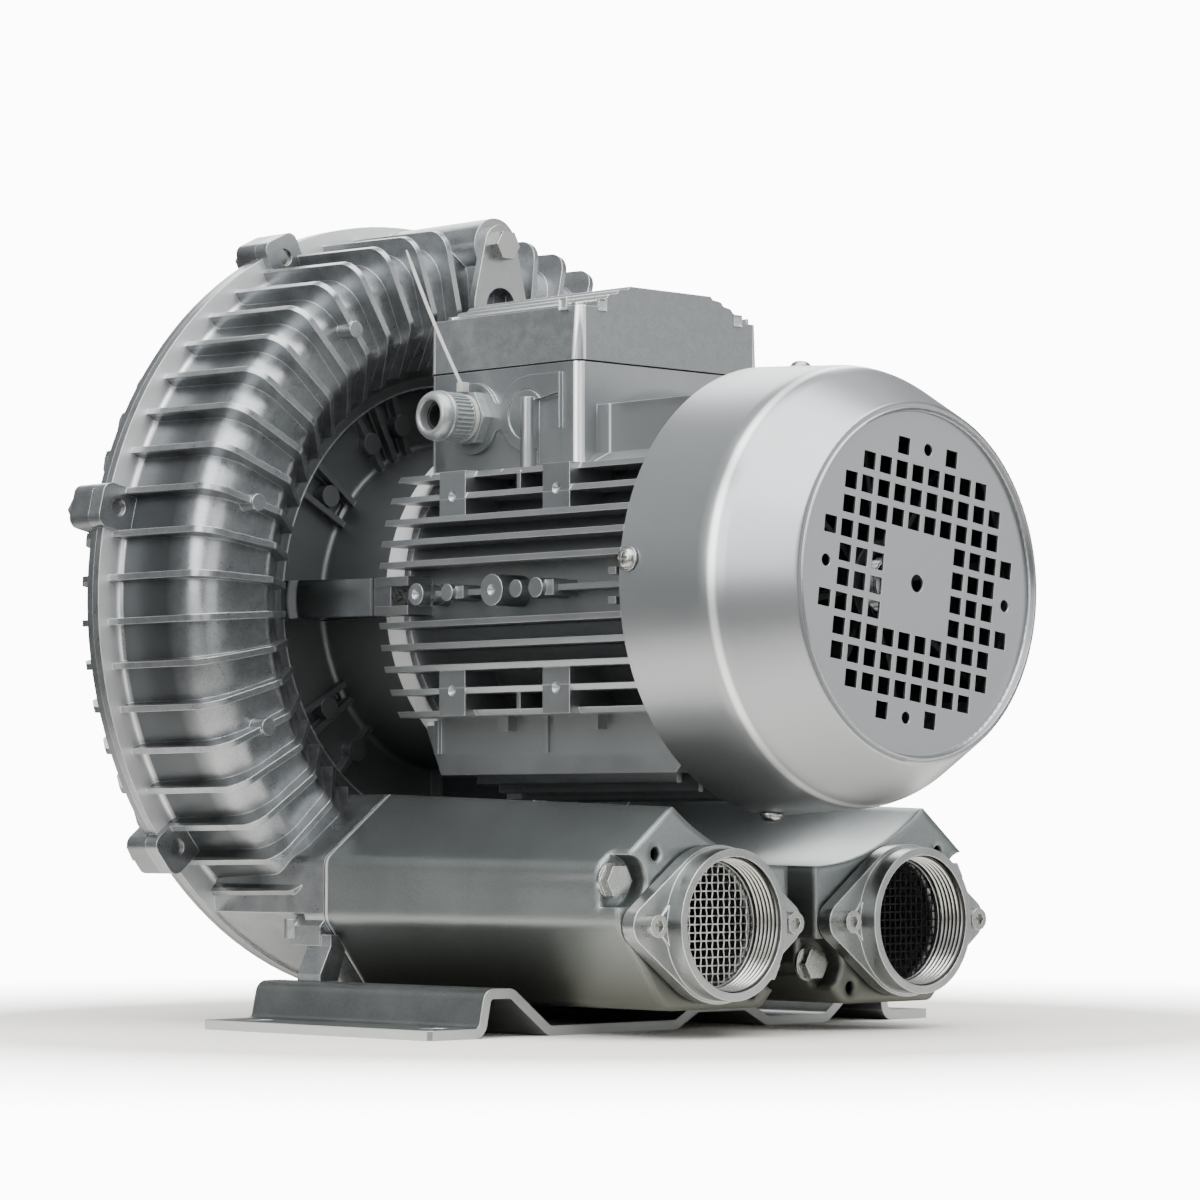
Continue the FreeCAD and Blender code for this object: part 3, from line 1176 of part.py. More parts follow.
def build_gland():
    hex_r = GLAND_HEX / math.sqrt(3)
    pts = []
    for i in range(6):
        a = math.radians(60 * i)
        pts.append((hex_r * math.cos(a), hex_r * math.sin(a)))
    face = outline_face(pts, lambda a, b: V(GLAND_X, GLAND_Y + a, GLAND_Z + b))
    body = face.extrude(V(-GLAND_HEX_T, 0, 0))
    body = body.fuse(about_gland([(-GLAND_BOSS_T - BOX_WALL - 2, 0), (-GLAND_BOSS_T - BOX_WALL - 2, GLAND_THREAD_R - FIT),
                                  (GLAND_HEX_T + 12, GLAND_THREAD_R - FIT), (GLAND_HEX_T + 12, 0)]))
    body = body.cut(about_gland([(-30, 0), (-30, GLAND_MOUTH_R), (60, GLAND_MOUTH_R), (60, 0)]))
    nut_a = GLAND_HEX_T + GLAND_GAP
    nut_b = nut_a + GLAND_NUT_L
    nut = about_gland([
        (nut_a, GLAND_THREAD_R), (nut_a, GLAND_NUT_R, 0.6), (nut_b - 7, GLAND_NUT_R, 2), (nut_b, GLAND_NUT_R - 1.2, 5),
        (nut_b, GLAND_MOUTH_R, 1), (nut_b - 5, GLAND_MOUTH_R), (GLAND_HEX_T + 14, GLAND_THREAD_R)])
    seal = about_gland([
        (GLAND_HEX_T + 12.1, GLAND_MOUTH_R - 1.6), (GLAND_HEX_T + 12.1, GLAND_THREAD_R - 0.4, 0.5),
        (GLAND_HEX_T + 14, GLAND_THREAD_R - 0.4, 0.5), (nut_b - 5.6, GLAND_MOUTH_R - 0.2), (nut_b - 5.6, GLAND_MOUTH_R - 1.6)])
    return body, nut, seal


TIE_X = GLAND_X - GLAND_HEX_T - GLAND_GAP / 2
TIE_W = 2.4
TIE_T = 1.2
TIE_HEAD = 4.8
TIE_END = (52.9, 366.3)


def build_tie():
    r = GLAND_THREAD_R
    ring = Part.makeCylinder(r + TIE_T, TIE_W, V(TIE_X - TIE_W / 2, GLAND_Y, GLAND_Z), V(1, 0, 0))
    ring = ring.cut(Part.makeCylinder(r, TIE_W + 2, V(TIE_X - TIE_W / 2 - 1, GLAND_Y, GLAND_Z), V(1, 0, 0)))
    half = TIE_HEAD / 2
    a = (GLAND_Y - 0.7, GLAND_Z + GLAND_NUT_R + half + 0.5)
    head = block(TIE_X - half, TIE_X + half, a[0] - half, a[0] + half, a[1] - half, a[1] + half)
    neck = block(TIE_X - TIE_W / 2, TIE_X + TIE_W / 2, a[0] - TIE_T, a[0] + TIE_T, GLAND_Z + r + TIE_T / 2, a[1])
    dy = TIE_END[0] - a[0]
    dz = TIE_END[1] - a[1]
    length = math.hypot(dy, dz)
    n = (-dz / length * TIE_T / 2, dy / length * TIE_T / 2)
    tail = outline_face(
        [(a[0] + n[0], a[1] + 2 + n[1]), (TIE_END[0] + n[0], TIE_END[1] + n[1]),
         (TIE_END[0] - n[0], TIE_END[1] - n[1]), (a[0] - n[0], a[1] + 2 - n[1])],
        lambda y, z: V(TIE_X - TIE_W / 2, y, z)).extrude(V(TIE_W, 0, 0))
    return ring.multiFuse([neck, head, tail]).removeSplitter()


# silencers and ports

MUFFLER_BACK_Y = SILENCER_BACK_Y - JOINT_T


def build_muffler():
    """Right-hand silencer."""
    outer = silencer_outer(MUFFLER_BACK_Y, SILENCER_FRONT_Y, 0, 1)
    inner = silencer_inner(MUFFLER_BACK_Y + 1, SILENCER_FRONT_Y + SILENCER_END, 0, 1)
    body = outer.cut(inner)
    tubes = []
    cuts = [rod(PORT_THROAT_R, PORT_X, PORT_Z, SILENCER_FRONT_Y - 1, SILENCER_FRONT_Y + SILENCER_END + 1)]
    for x, z in corner_bolt_places():
        tubes.append(rod(POCKET_R + 3, x, z, SILENCER_FRONT_Y, SILENCER_FRONT_Y + POCKET_L + 4))
        tubes.append(rod(8.5, x, z, SILENCER_FRONT_Y, MUFFLER_BACK_Y))
        away = 1 if x > PORT_X else -1
        cuts.append(rod(POCKET_R, x, z, SILENCER_FRONT_Y - 1, SILENCER_FRONT_Y + POCKET_L))
        cuts.append(block(
            x, x + away * 2 * POCKET_R, SILENCER_FRONT_Y - 1, SILENCER_FRONT_Y + POCKET_L,
            z - POCKET_R, z + POCKET_R))
        cuts.append(rod(M8_R + 0.4, x, z, SILENCER_FRONT_Y, MUFFLER_BACK_Y + 1))
    body = body.fuse(tubes[0].multiFuse(tubes[1:]).common(outer))
    for dx, dz in CORNER_HOLES:
        cuts.append(rod(3.4, PORT_X + dx, PORT_Z + dz, SILENCER_FRONT_Y - 1, SILENCER_FRONT_Y + SILENCER_END + 1))
    for s in (-1, 1):
        cuts.append(rod(
            M6_R + FIT, PORT_X + s * PORT_EAR_X, PORT_Z,
            SILENCER_FRONT_Y - 1, SILENCER_FRONT_Y + SILENCER_END + 1))
    return body.cut(cuts).removeSplitter()


def build_muffler_gasket():
    w0 = section_wire(section_points(0), MUFFLER_BACK_Y, SECTION_FILLET)
    sheet = Part.Face(w0).extrude(V(0, JOINT_T, 0))
    cuts = [rod(DUCT_R + 4, PORT_X, PORT_Z, MUFFLER_BACK_Y - 1, SILENCER_BACK_Y + 1)]
    for x, z in corner_bolt_places():
        cuts.append(rod(M8_R + 0.4, x, z, MUFFLER_BACK_Y - 1, SILENCER_BACK_Y + 1))
    return sheet.cut(cuts)


def build_muffler_bolts():
    bolts = []
    seat = SILENCER_FRONT_Y + POCKET_L
    for s in (-1, 1):
        for x, z in corner_bolt_places():
            bolts.append(hex_bolt(s * x, z, seat, 1, SILENCER_BACK_Y + MUFFLER_BOLT_GRIP - seat, M8_R, 1))
    return group(bolts)


def port_outline(ring, ear, y0, y1):
    """Round-ended rhombus: a ring with two ears, joined by tangent sides."""
    d = PORT_EAR_X
    a = math.acos((ring - ear) / d)
    c, s = math.cos(a), math.sin(a)
    pts = [(ring * c, ring * s), (d + ear * c, ear * s), (d + ear * c, -ear * s), (ring * c, -ring * s),
           (-ring * c, -ring * s), (-d - ear * c, -ear * s), (-d - ear * c, ear * s), (-ring * c, ring * s)]
    plate = slab_y([(PORT_X + x, PORT_Z + z) for x, z in pts], y0, y1)
    rounds = [rod(ring, PORT_X, PORT_Z, y0, y1)]
    rounds += [rod(ear, PORT_X + k * d, PORT_Z, y0, y1) for k in (-1, 1)]
    return plate.multiFuse(rounds).removeSplitter()


PORT_BACK_Y = SILENCER_FRONT_Y - FLANGE_GASKET_T


def build_port_flange():
    front = PORT_BACK_Y - PORT_PLATE_T
    body = port_outline(PORT_RING_R + 1.5, PORT_EAR_R, front, PORT_BACK_Y)
    ring = rod(PORT_RING_R, PORT_X, PORT_Z, PORT_END_Y, PORT_BACK_Y)
    adds = [ring]
    half = PORT_RING_R * math.sin(math.radians(PORT_WEB_ANGLE))
    root = PORT_RING_R * math.cos(math.radians(PORT_WEB_ANGLE))
    tip = PORT_EAR_X - PORT_WEB_GAP
    for s in (-1, 1):
        plan = slab_y([(PORT_X + s * (root - 2), PORT_Z - half), (PORT_X + s * tip, PORT_Z - 2), (PORT_X + s * tip, PORT_Z + 2),
                       (PORT_X + s * (root - 2), PORT_Z + half)], front - PORT_WEB_H, front)
        slope = outline_face(
            [(s * (root - 2), front), (s * (root - 2), front - PORT_WEB_H), (s * root, front - PORT_WEB_H), (s * tip, front)],
            lambda x, y: V(PORT_X + x, y, PORT_Z - half)).extrude(V(0, 0, 2 * half))
        adds.append(plan.common(slope))
    body = body.multiFuse(adds)
    cuts = [rod(PORT_THREAD_R, PORT_X, PORT_Z, PORT_END_Y - 1, PORT_END_Y + PORT_THREAD_L),
            rod(PORT_THROAT_R, PORT_X, PORT_Z, PORT_END_Y - 1, PORT_BACK_Y + 1)]
    for s in (-1, 1):
        cuts.append(rod(M6_R + 0.3, PORT_X + s * PORT_EAR_X, PORT_Z, front - 1, PORT_BACK_Y + 1))
    return body.cut(cuts).removeSplitter()


def build_flange_gasket():
    body = port_outline(PORT_RING_R + 1.0, PORT_EAR_R - 0.5, PORT_BACK_Y, SILENCER_FRONT_Y)
    cuts = [rod(PORT_THROAT_R + 1.0, PORT_X, PORT_Z, PORT_BACK_Y - 1, SILENCER_FRONT_Y + 1)]
    for s in (-1, 1):
        cuts.append(rod(M6_R + 0.3, PORT_X + s * PORT_EAR_X, PORT_Z, PORT_BACK_Y - 1, SILENCER_FRONT_Y + 1))
    return body.cut(cuts).removeSplitter()


def build_screen():
    """Screen disc held inside the gasket: a rim and one layer of wires each way."""
    r = PORT_THROAT_R + 0.9
    y0 = PORT_BACK_Y + 0.05
    y1 = y0 + SCREEN_T
    mid = (y0 + y1) / 2
    layers = []
    for k, (a, b) in enumerate(((y0, mid), (mid, y1))):
        rim = rod(r, PORT_X, PORT_Z, a, b).cut(rod(r - 1.6, PORT_X, PORT_Z, a - 1, b + 1))
        wires = []
        n = int(r // SCREEN_PITCH)
        for i in range(-n, n + 1):
            c = i * SCREEN_PITCH
            h = math.sqrt(max((r - 0.8) ** 2 - c ** 2, 0.0))
            w = SCREEN_WIRE / 2
            if h < 2:
                continue
            if k == 0:
                wires.append(block(PORT_X - h, PORT_X + h, a, b, PORT_Z + c - w, PORT_Z + c + w))
            else:
                wires.append(block(PORT_X + c - w, PORT_X + c + w, a, b, PORT_Z - h, PORT_Z + h))
        layers.append(rim.multiFuse(wires))
    return layers


def build_flange_screws():
    screws = []
    seat = PORT_BACK_Y - PORT_PLATE_T
    for sx in (-1, 1):
        for s in (-1, 1):
            x = sx * PORT_X + s * PORT_EAR_X
            screws.append(socket_screw(x, PORT_Z, seat, 1, PORT_PLATE_T + FLANGE_GASKET_T + SILENCER_END - 0.5, M6_R))
    return group(screws)


def build_foam():
    y0 = SILENCER_FRONT_Y + SILENCER_END
    tube = rod(FOAM_R, PORT_X, PORT_Z, y0, y0 + FOAM_L)
    tube = tube.cut(rod(FOAM_R - FOAM_T, PORT_X, PORT_Z, y0 - 1, y0 + FOAM_L + 1))
    return group([tube, mirrored(tube)])


# foot and lifting lug

def sheet_outline(points, t):
    """Bent sheet: the centre line with bend radii, thickened to both sides."""
    sides = ([], [])
    n = len(points)
    for i in range(n):
        x, z = points[i][0], points[i][1]
        r = points[i][2] if len(points[i]) > 2 else 0.0
        d1 = None
        d2 = None
        if i > 0:
            d1 = (x - points[i - 1][0], z - points[i - 1][1])
        if i < n - 1:
            d2 = (points[i + 1][0] - x, points[i + 1][1] - z)
        d1 = d1 or d2
        d2 = d2 or d1
        l1 = math.hypot(*d1)
        l2 = math.hypot(*d2)
        n1 = (-d1[1] / l1, d1[0] / l1)
        n2 = (-d2[1] / l2, d2[0] / l2)
        k = (t / 2) / (1 + n1[0] * n2[0] + n1[1] * n2[1])
        m = ((n1[0] + n2[0]) * k, (n1[1] + n2[1]) * k)
        turn = d1[0] * d2[1] - d1[1] * d2[0]
        for side, s in ((0, 1), (1, -1)):
            radius = 0.0
            if r:
                radius = r - t / 2 if turn * s > 0 else r + t / 2
            sides[side].append((x + s * m[0], z + s * m[1], radius))
    return sides[0] + list(reversed(sides[1]))


def foot_profile():
    low = FOOT_T / 2
    top = HUMP_TOP - FOOT_T / 2
    return [
        (FOOT_LEFT, low), (-137.0, low, 5), (-133.3, top, 4), (-119.0, top, 6), (-96.0, low, 6),
        (-15.5, low, 5), (-1.5, FOOT_RAISED, 5), (30.5, FOOT_RAISED, 5), (45.5, low, 5),
        (86.0, low, 6), (108.5, top, 6), (125.0, top, 4), (129.0, low, 5), (FOOT_RIGHT, low)]


def build_foot():
    plate = slab_y(sheet_outline(foot_profile(), FOOT_T), FOOT_Y0, FOOT_Y1)
    cuts = []
    for sx in (-1, 1):
        for sy in (-1, 1):
            y = sy * SLOT_Y
            r = SLOT_W / 2
            h = SLOT_L / 2 - r
            slot = block(sx * SLOT_X - h, sx * SLOT_X + h, y - r, y + r, -1, FOOT_T + 1)
            slot = slot.multiFuse([
                Part.makeCylinder(r, FOOT_T + 2, V(sx * SLOT_X + k * h, y, -1), V(0, 0, 1)) for k in (-1, 1)])
            cuts.append(slot)
    size = FOOT_CHAMFER
    for x, s in ((FOOT_LEFT, 1), (FOOT_RIGHT, -1)):
        for y, q in ((FOOT_Y0, 1), (FOOT_Y1, -1)):
            tri = Part.Face(Part.makePolygon([V(x - s, y - q, -1), V(x + s * size, y - q, -1), V(x - s, y + q * size, -1),
                                              V(x - s, y - q, -1)])).extrude(V(0, 0, FOOT_T + 2))
            cuts.append(tri)
    for x, y in FOOT_SCREWS:
        cuts.append(Part.makeCylinder(M5_R + 0.4, 12, V(x, y, HUMP_TOP - 8), V(0, 0, 1)))
    return plate.cut(cuts).removeSplitter()


def build_foot_bolts():
    bolts = []
    for x, y in FOOT_SCREWS:
        seat = HUMP_TOP - FOOT_T - SEAT_GAP
        shank = Part.makeCylinder(M5_R, FOOT_SCREW_L, V(x, y, seat), V(0, 0, 1))
        head = Part.makeCylinder(M5_R * 1.67, M5_R * 2, V(x, y, seat - M5_R * 2), V(0, 0, 1))
        bolts.append(shank.fuse(head).removeSplitter())
    return group(bolts)


def build_lug():
    """Tear-drop plate: small end at the bolt, large end round the eye."""
    y0, y1 = LUG_FRONT_Y, LUG_FRONT_Y + LUG_T
    r1, r2 = 10.5, 17.5
    d = LUG_BOLT_Z - LUG_EYE_Z
    a = math.asin((r2 - r1) / d)
    c, s = math.cos(a), math.sin(a)
    pts = [(LUG_X + r1 * c, LUG_BOLT_Z + r1 * s), (LUG_X - r1 * c, LUG_BOLT_Z + r1 * s),
           (LUG_X - r2 * c, LUG_EYE_Z + r2 * s), (LUG_X + r2 * c, LUG_EYE_Z + r2 * s)]
    plate = slab_y(pts, y0, y1)
    plate = plate.multiFuse([rod(r1, LUG_X, LUG_BOLT_Z, y0, y1), rod(r2, LUG_X, LUG_EYE_Z, y0, y1)])
    cuts = [rod(LUG_EYE_R, LUG_X, LUG_EYE_Z, y0 - 1, y1 + 1), rod(M8_R + 0.3, LUG_X, LUG_BOLT_Z, y0 - 1, y1 + 1)]
    return plate.cut(cuts).removeSplitter()


def build_all():
    save("casing", build_casing())
    save("casing_cover", build_cover())
    save("cover_bolts", build_cover_bolts())
    inner, outer, balls = build_bearings()
    save("bearing_inner_races", inner)
    save("bearing_outer_races", outer)
    save("bearing_balls", balls)
    save("shaft", build_shaft())
    save("impeller_key", build_key())
    save("impeller", build_impeller())
    end = WHEEL_END_Y
    save("impeller_washer", turned([
        (M10_R + 0.3, end), (WASHER_R, end), (WASHER_R, end + WASHER_T), (M10_R + 0.3, end + WASHER_T)]))
    save("impeller_bolt", hex_bolt(0, AXIS_Z, end + WASHER_T, -1, 22, M10_R))
    save("rotor_core", build_rotor_core())
    core, windings = build_stator()
    save("stator_core", core)
    save("stator_windings", windings)
    save("shaft_seals", build_seals())
    save("wave_spring", build_wave_spring())
    save("motor_housing", build_barrel())
    save("housing_screws", build_housing_screws())
    save("end_shield", build_shield())
    save("shield_screws", build_shield_screws())
    save("cooling_fan", build_fan())
    save("fan_clip", build_fan_clip())
    save("fan_cover", build_fan_cover())
    save("fan_cover_screws", build_cover_screws())
    save("box_lid", build_lid())
    save("lid_screws", build_lid_screws())
    save("box_gasket", build_box_gasket())
    save("terminal_board", build_board())
    save("terminal_studs", build_studs())
    body, nut, seal = build_gland()
    save("gland_body", body)
    save("gland_nut", nut)
    save("gland_seal", seal)
    save("cable_tie", build_tie())
    muffler = build_muffler()
    save("muffler_right", muffler)
    save("muffler_left", mirrored(muffler))
    gasket = build_muffler_gasket()
    save("muffler_gaskets", group([gasket, mirrored(gasket)]))
    save("muffler_bolts", build_muffler_bolts())
    flange = build_port_flange()
    save("port_flange_right", flange)
    save("port_flange_left", mirrored(flange))
    seal = build_flange_gasket()
    save("flange_gaskets", group([seal, mirrored(seal)]))
    screen = build_screen()
    save("port_screens", group(screen + [mirrored(s) for s in screen]))
    save("flange_screws", build_flange_screws())
    save("silencer_foam", build_foam())
    save("foot_plate", build_foot())
    save("foot_bolts", build_foot_bolts())
    save("lifting_lug", build_lug())
    save("lifting_bolt", hex_bolt(LUG_X, LUG_BOLT_Z, LUG_FRONT_Y, 1, LUG_T + 12, M8_R))


build_all()
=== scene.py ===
import bpy
import bmesh
import math
from mathutils import Matrix, Vector


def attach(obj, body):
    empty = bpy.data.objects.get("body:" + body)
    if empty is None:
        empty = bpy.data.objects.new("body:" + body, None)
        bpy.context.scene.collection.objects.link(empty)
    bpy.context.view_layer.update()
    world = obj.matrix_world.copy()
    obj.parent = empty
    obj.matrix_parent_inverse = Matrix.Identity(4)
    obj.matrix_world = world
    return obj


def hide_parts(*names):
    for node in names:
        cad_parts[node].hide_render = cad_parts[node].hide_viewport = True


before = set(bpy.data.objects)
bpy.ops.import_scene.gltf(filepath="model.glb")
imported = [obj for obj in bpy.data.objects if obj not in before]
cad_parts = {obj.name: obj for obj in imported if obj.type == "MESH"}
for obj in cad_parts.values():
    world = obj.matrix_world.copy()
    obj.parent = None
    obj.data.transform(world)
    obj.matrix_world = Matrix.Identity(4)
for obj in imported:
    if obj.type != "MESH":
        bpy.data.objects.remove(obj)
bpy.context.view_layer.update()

# places and sizes shared with the CAD model, in metres
AXIS_Z = 0.200
PORT_X = 0.0625
PORT_Z = 0.050
GLAND_PLACE = Vector((-0.0700, 0.0140, 0.2836))
BOX_MIDDLE = (0.0, -0.0047, 0.0)
BOX_HALF_SIZE = (0.0598, 0.0507, 0.0)
LID_SCREW = (0.0511, 0.0420)
COVER_R = 0.102
COVER_SCREW_Y = -0.129
COVER_SCREW_TURN = math.radians(-5.6)
BARREL_R = 0.0798

# camera, solved from the straight edges in the photograph
EYE = Vector((-1.42273, -1.45384, 0.09314))
EYE_YAW = 0.7775
EYE_PITCH = 0.0527
LENS_MM = 128.6
SENSOR_MM = 36.0

# studio: name, place, size and radiance of each lamp, and what the metal reflects below and above
SOFTBOXES = (
    ("softbox_above", (-0.3, -0.8, 2.1), (2.8, 2.8), 5.4),
    ("softbox_left", (-2.1, -0.15, 1.15), (1.4, 1.8), 5.5),
    ("softbox_front", (-1.6, -2.3, 0.75), (1.8, 1.3), 2.0),
    ("softbox_behind", (1.1, 1.5, 1.45), (1.5, 1.3), 4.5),
    ("softbox_right", (1.7, -1.9, 0.6), (1.2, 1.3), 1.4))
LIT_PLACE = Vector((0, 0, 0.18))
ROOM_STOPS = ((0.0, (0.24, 0.245, 0.25, 1)), (0.9, (0.7, 0.72, 0.73, 1)))
BACKDROP_RADIANCE = 12.0

# socket numbers of the Mix node for colours and for values, as its socket names repeat
MIX_FACTOR = 0
MIX_COLOUR_A, MIX_COLOUR_B, MIX_COLOUR_OUT = 6, 7, 2
MIX_VALUE_A, MIX_VALUE_B, MIX_VALUE_OUT = 2, 3, 0

# range that two added noises mostly stay in, and cosine of the normal's turn where the painted edge highlight
# begins and where it is full
NOISE_RANGE = (0.7, 1.3)
CLOUD_DETAIL = 3.0
GRAIN_DETAIL = 2.0
EDGE_HIGHLIGHT_TURN = (0.995, 0.93)
EDGE_HIGHLIGHT_SAMPLES = 4
SOFT_SAMPLES = 6


def add(owner, kind, inputs, **settings):
    """Node of one kind with its settings. Inputs are values, or sockets to link from."""
    tree = owner.node_tree
    node = tree.nodes.new("ShaderNode" + kind)
    for name, value in settings.items():
        setattr(node, name, value)
    for name, value in inputs.items():
        socket = node.inputs[name]
        if isinstance(value, bpy.types.NodeSocket):
            tree.links.new(value, socket)
        else:
            socket.default_value = value
    return node


# camera and studio

def place_camera():
    flat = math.cos(EYE_PITCH)
    aim = Vector((math.sin(EYE_YAW) * flat, math.cos(EYE_YAW) * flat, math.sin(EYE_PITCH)))
    data = bpy.data.cameras.new("photo_camera")
    data.lens = LENS_MM
    data.sensor_width = SENSOR_MM
    camera = bpy.data.objects.new("photo_camera", data)
    camera.location = EYE
    camera.rotation_euler = aim.to_track_quat("-Z", "Y").to_euler()
    bpy.context.scene.collection.objects.link(camera)
    bpy.context.scene.camera = camera


def hang_softbox(name, place, size, radiance):
    """Rectangular lamp turned towards the middle of the blower."""
    data = bpy.data.lights.new(name, "AREA")
    data.shape = "RECTANGLE"
    data.size, data.size_y = size
    data.energy = radiance * math.pi * size[0] * size[1]
    lamp = bpy.data.objects.new(name, data)
    lamp.location = place
    lamp.rotation_euler = (LIT_PLACE - Vector(place)).to_track_quat("-Z", "Y").to_euler()
    bpy.context.scene.collection.objects.link(lamp)


def light_room():
    """White backdrop for the camera, and a dimmer room for everything that the metal reflects."""
    world = bpy.data.worlds.new("studio")
    bpy.context.scene.world = world
    world.use_nodes = True
    nodes, links = world.node_tree.nodes, world.node_tree.links
    direction = add(world, "TexCoord", {}).outputs["Generated"]
    height = add(world, "SeparateXYZ", {"Vector": direction}).outputs["Z"]
    shade = add(world, "ValToRGB", {"Fac": height})
    for stop, (position, colour) in zip(shade.color_ramp.elements, ROOM_STOPS):
        stop.position, stop.color = position, colour
    room = nodes["Background"]
    links.new(shade.outputs["Color"], room.inputs["Color"])
    backdrop = add(world, "Background", {"Color": (1, 1, 1, 1), "Strength": BACKDROP_RADIANCE})
    to_camera = add(world, "LightPath", {}).outputs["Is Camera Ray"]
    seen = add(world, "MixShader", {0: to_camera, 1: room.outputs[0], 2: backdrop.outputs[0]})
    links.new(seen.outputs[0], nodes["World Output"].inputs["Surface"])
    for softbox in SOFTBOXES:
        hang_softbox(*softbox)


place_camera()
light_room()


# materials: every pattern is scaled from a size in millimetres

def linear(code):
    """Linear colour of an sRGB code such as #9a9e9c."""
    parts = [int(code[i:i + 2], 16) / 255 for i in (1, 3, 5)]
    return tuple(v / 12.92 if v <= 0.04045 else ((v + 0.055) / 1.055) ** 2.4 for v in parts) + (1.0,)


def per_mm(size):
    """Noise scale for a pattern of this size."""
    return 1000.0 / size


def surface(name, colours, metallic, roughness, grain, cloud, edge_highlight=None, soft=None):
    """Finish with soft clouds of colour and gloss over a fine grain, with sizes in millimetres.

    Colours are the dark and the light one, roughness its middle and how far it spreads, grain its width and
    depth, and cloud its width. The edge argument is the width and the colour of a painted highlight along the
    edges, and soft the radius that the edges seem to have.
    """
    material = bpy.data.materials.new(name)
    material.use_nodes = True
    links = material.node_tree.links
    shader = material.node_tree.nodes["Principled BSDF"]
    shader.inputs["Metallic"].default_value = metallic
    dark, light = (linear(code) for code in colours)
    middle, spread = roughness
    width, depth = grain
    low, high = NOISE_RANGE
    place = add(material, "TexCoord", {}).outputs["Object"]
    clouds = add(material, "TexNoise", {
        "Vector": place, "Scale": per_mm(cloud), "Detail": CLOUD_DETAIL}).outputs["Fac"]
    fine = add(material, "TexNoise", {
        "Vector": place, "Scale": per_mm(width), "Detail": GRAIN_DETAIL}).outputs["Fac"]
    both = add(material, "Math", {0: clouds, 1: fine}, operation="ADD").outputs[0]
    share = add(material, "MapRange", {"Value": both, "From Min": low, "From Max": high}).outputs["Result"]
    colour = add(material, "Mix", {
        MIX_FACTOR: share, MIX_COLOUR_A: dark, MIX_COLOUR_B: light}, data_type="RGBA").outputs[MIX_COLOUR_OUT]
    gloss = add(material, "MapRange", {
        "Value": both, "From Min": low, "From Max": high,
        "To Min": middle - spread, "To Max": middle + spread}).outputs["Result"]
    bump = {"Height": fine, "Distance": depth / 1000, "Strength": 1.0}
    # painted highlight: where the rounded normal turns away from the flat one, the edge is painted a brighter
    # colour
    if edge_highlight:
        edge, highlit = edge_highlight
        rounded = add(material, "Bevel", {"Radius": edge / 1000}, samples=EDGE_HIGHLIGHT_SAMPLES).outputs["Normal"]
        flat = add(material, "NewGeometry", {}).outputs["Normal"]
        turn = add(material, "VectorMath", {0: rounded, 1: flat}, operation="DOT_PRODUCT").outputs["Value"]
        edge_highlight_share = add(material, "MapRange", {
            "Value": turn, "From Min": EDGE_HIGHLIGHT_TURN[0], "From Max": EDGE_HIGHLIGHT_TURN[1]}).outputs["Result"]
        colour = add(material, "Mix", {
            MIX_FACTOR: edge_highlight_share, MIX_COLOUR_A: colour, MIX_COLOUR_B: linear(highlit)},
            data_type="RGBA").outputs[MIX_COLOUR_OUT]
        bump["Normal"] = rounded
    if soft:
        bump["Normal"] = add(material, "Bevel", {"Radius": soft / 1000}, samples=SOFT_SAMPLES).outputs["Normal"]
    links.new(add(material, "Bump", bump).outputs["Normal"], shader.inputs["Normal"])
    links.new(colour, shader.inputs["Base Color"])
    links.new(gloss, shader.inputs["Roughness"])
    return material


# lines that a zone is measured from: a point on the line, and 1 for the two directions across it
LINES = {
    "from_shaft": ((0, 0, AXIS_Z), (1, 0, 1)),
    "from_port": ((PORT_X, 0, PORT_Z), (1, 0, 1)),
    "from_middle": ((0, 0, 0), (1, 1, 0))}


def measure(material, what):
    """Value that bounds a zone: a distance in metres, or how far the surface faces along an axis.

    A place is folded onto one side first where it is measured from a line, so that both ports count as one.
    """
    place = add(material, "TexCoord", {}).outputs["Object"]
    if what in LINES:
        point, across = LINES[what]
        folded = add(material, "VectorMath", {0: place}, operation="ABSOLUTE").outputs["Vector"]
        away = add(material, "VectorMath", {0: folded, 1: point}, operation="SUBTRACT").outputs["Vector"]
        flat = add(material, "VectorMath", {0: away, 1: across}, operation="MULTIPLY").outputs["Vector"]
        return add(material, "VectorMath", {0: flat}, operation="LENGTH").outputs["Value"]
    if what == "from_box_corner":
        middle = add(material, "VectorMath", {0: place, 1: BOX_MIDDLE}, operation="SUBTRACT").outputs["Vector"]
        folded = add(material, "VectorMath", {0: middle}, operation="ABSOLUTE").outputs["Vector"]
        inward = add(material, "VectorMath", {0: BOX_HALF_SIZE, 1: folded}, operation="SUBTRACT")
        return add(material, "VectorMath", {
            0: inward.outputs["Vector"], 1: (1, 1, 0)}, operation="DOT_PRODUCT").outputs["Value"]
    kind, axis = what.split("_")
    vector = place if kind == "at" else add(material, "NewGeometry", {}).outputs["Normal"]
    if kind == "square":
        vector = add(material, "VectorMath", {0: vector}, operation="ABSOLUTE").outputs["Vector"]
    return add(material, "SeparateXYZ", {"Vector": vector}).outputs[axis.upper()]


def mask_of(material, zone):
    """Value of 1 in a zone and 0 outside it, with a fade at each of its bounds."""
    mask = 1.0
    for what, none, full in zone:
        fade = add(material, "MapRange", {
            "Value": measure(material, what), "From Min": none, "From Max": full}).outputs["Result"]
        mask = add(material, "Math", {0: mask, 1: fade}, operation="MULTIPLY").outputs[0]
    return mask


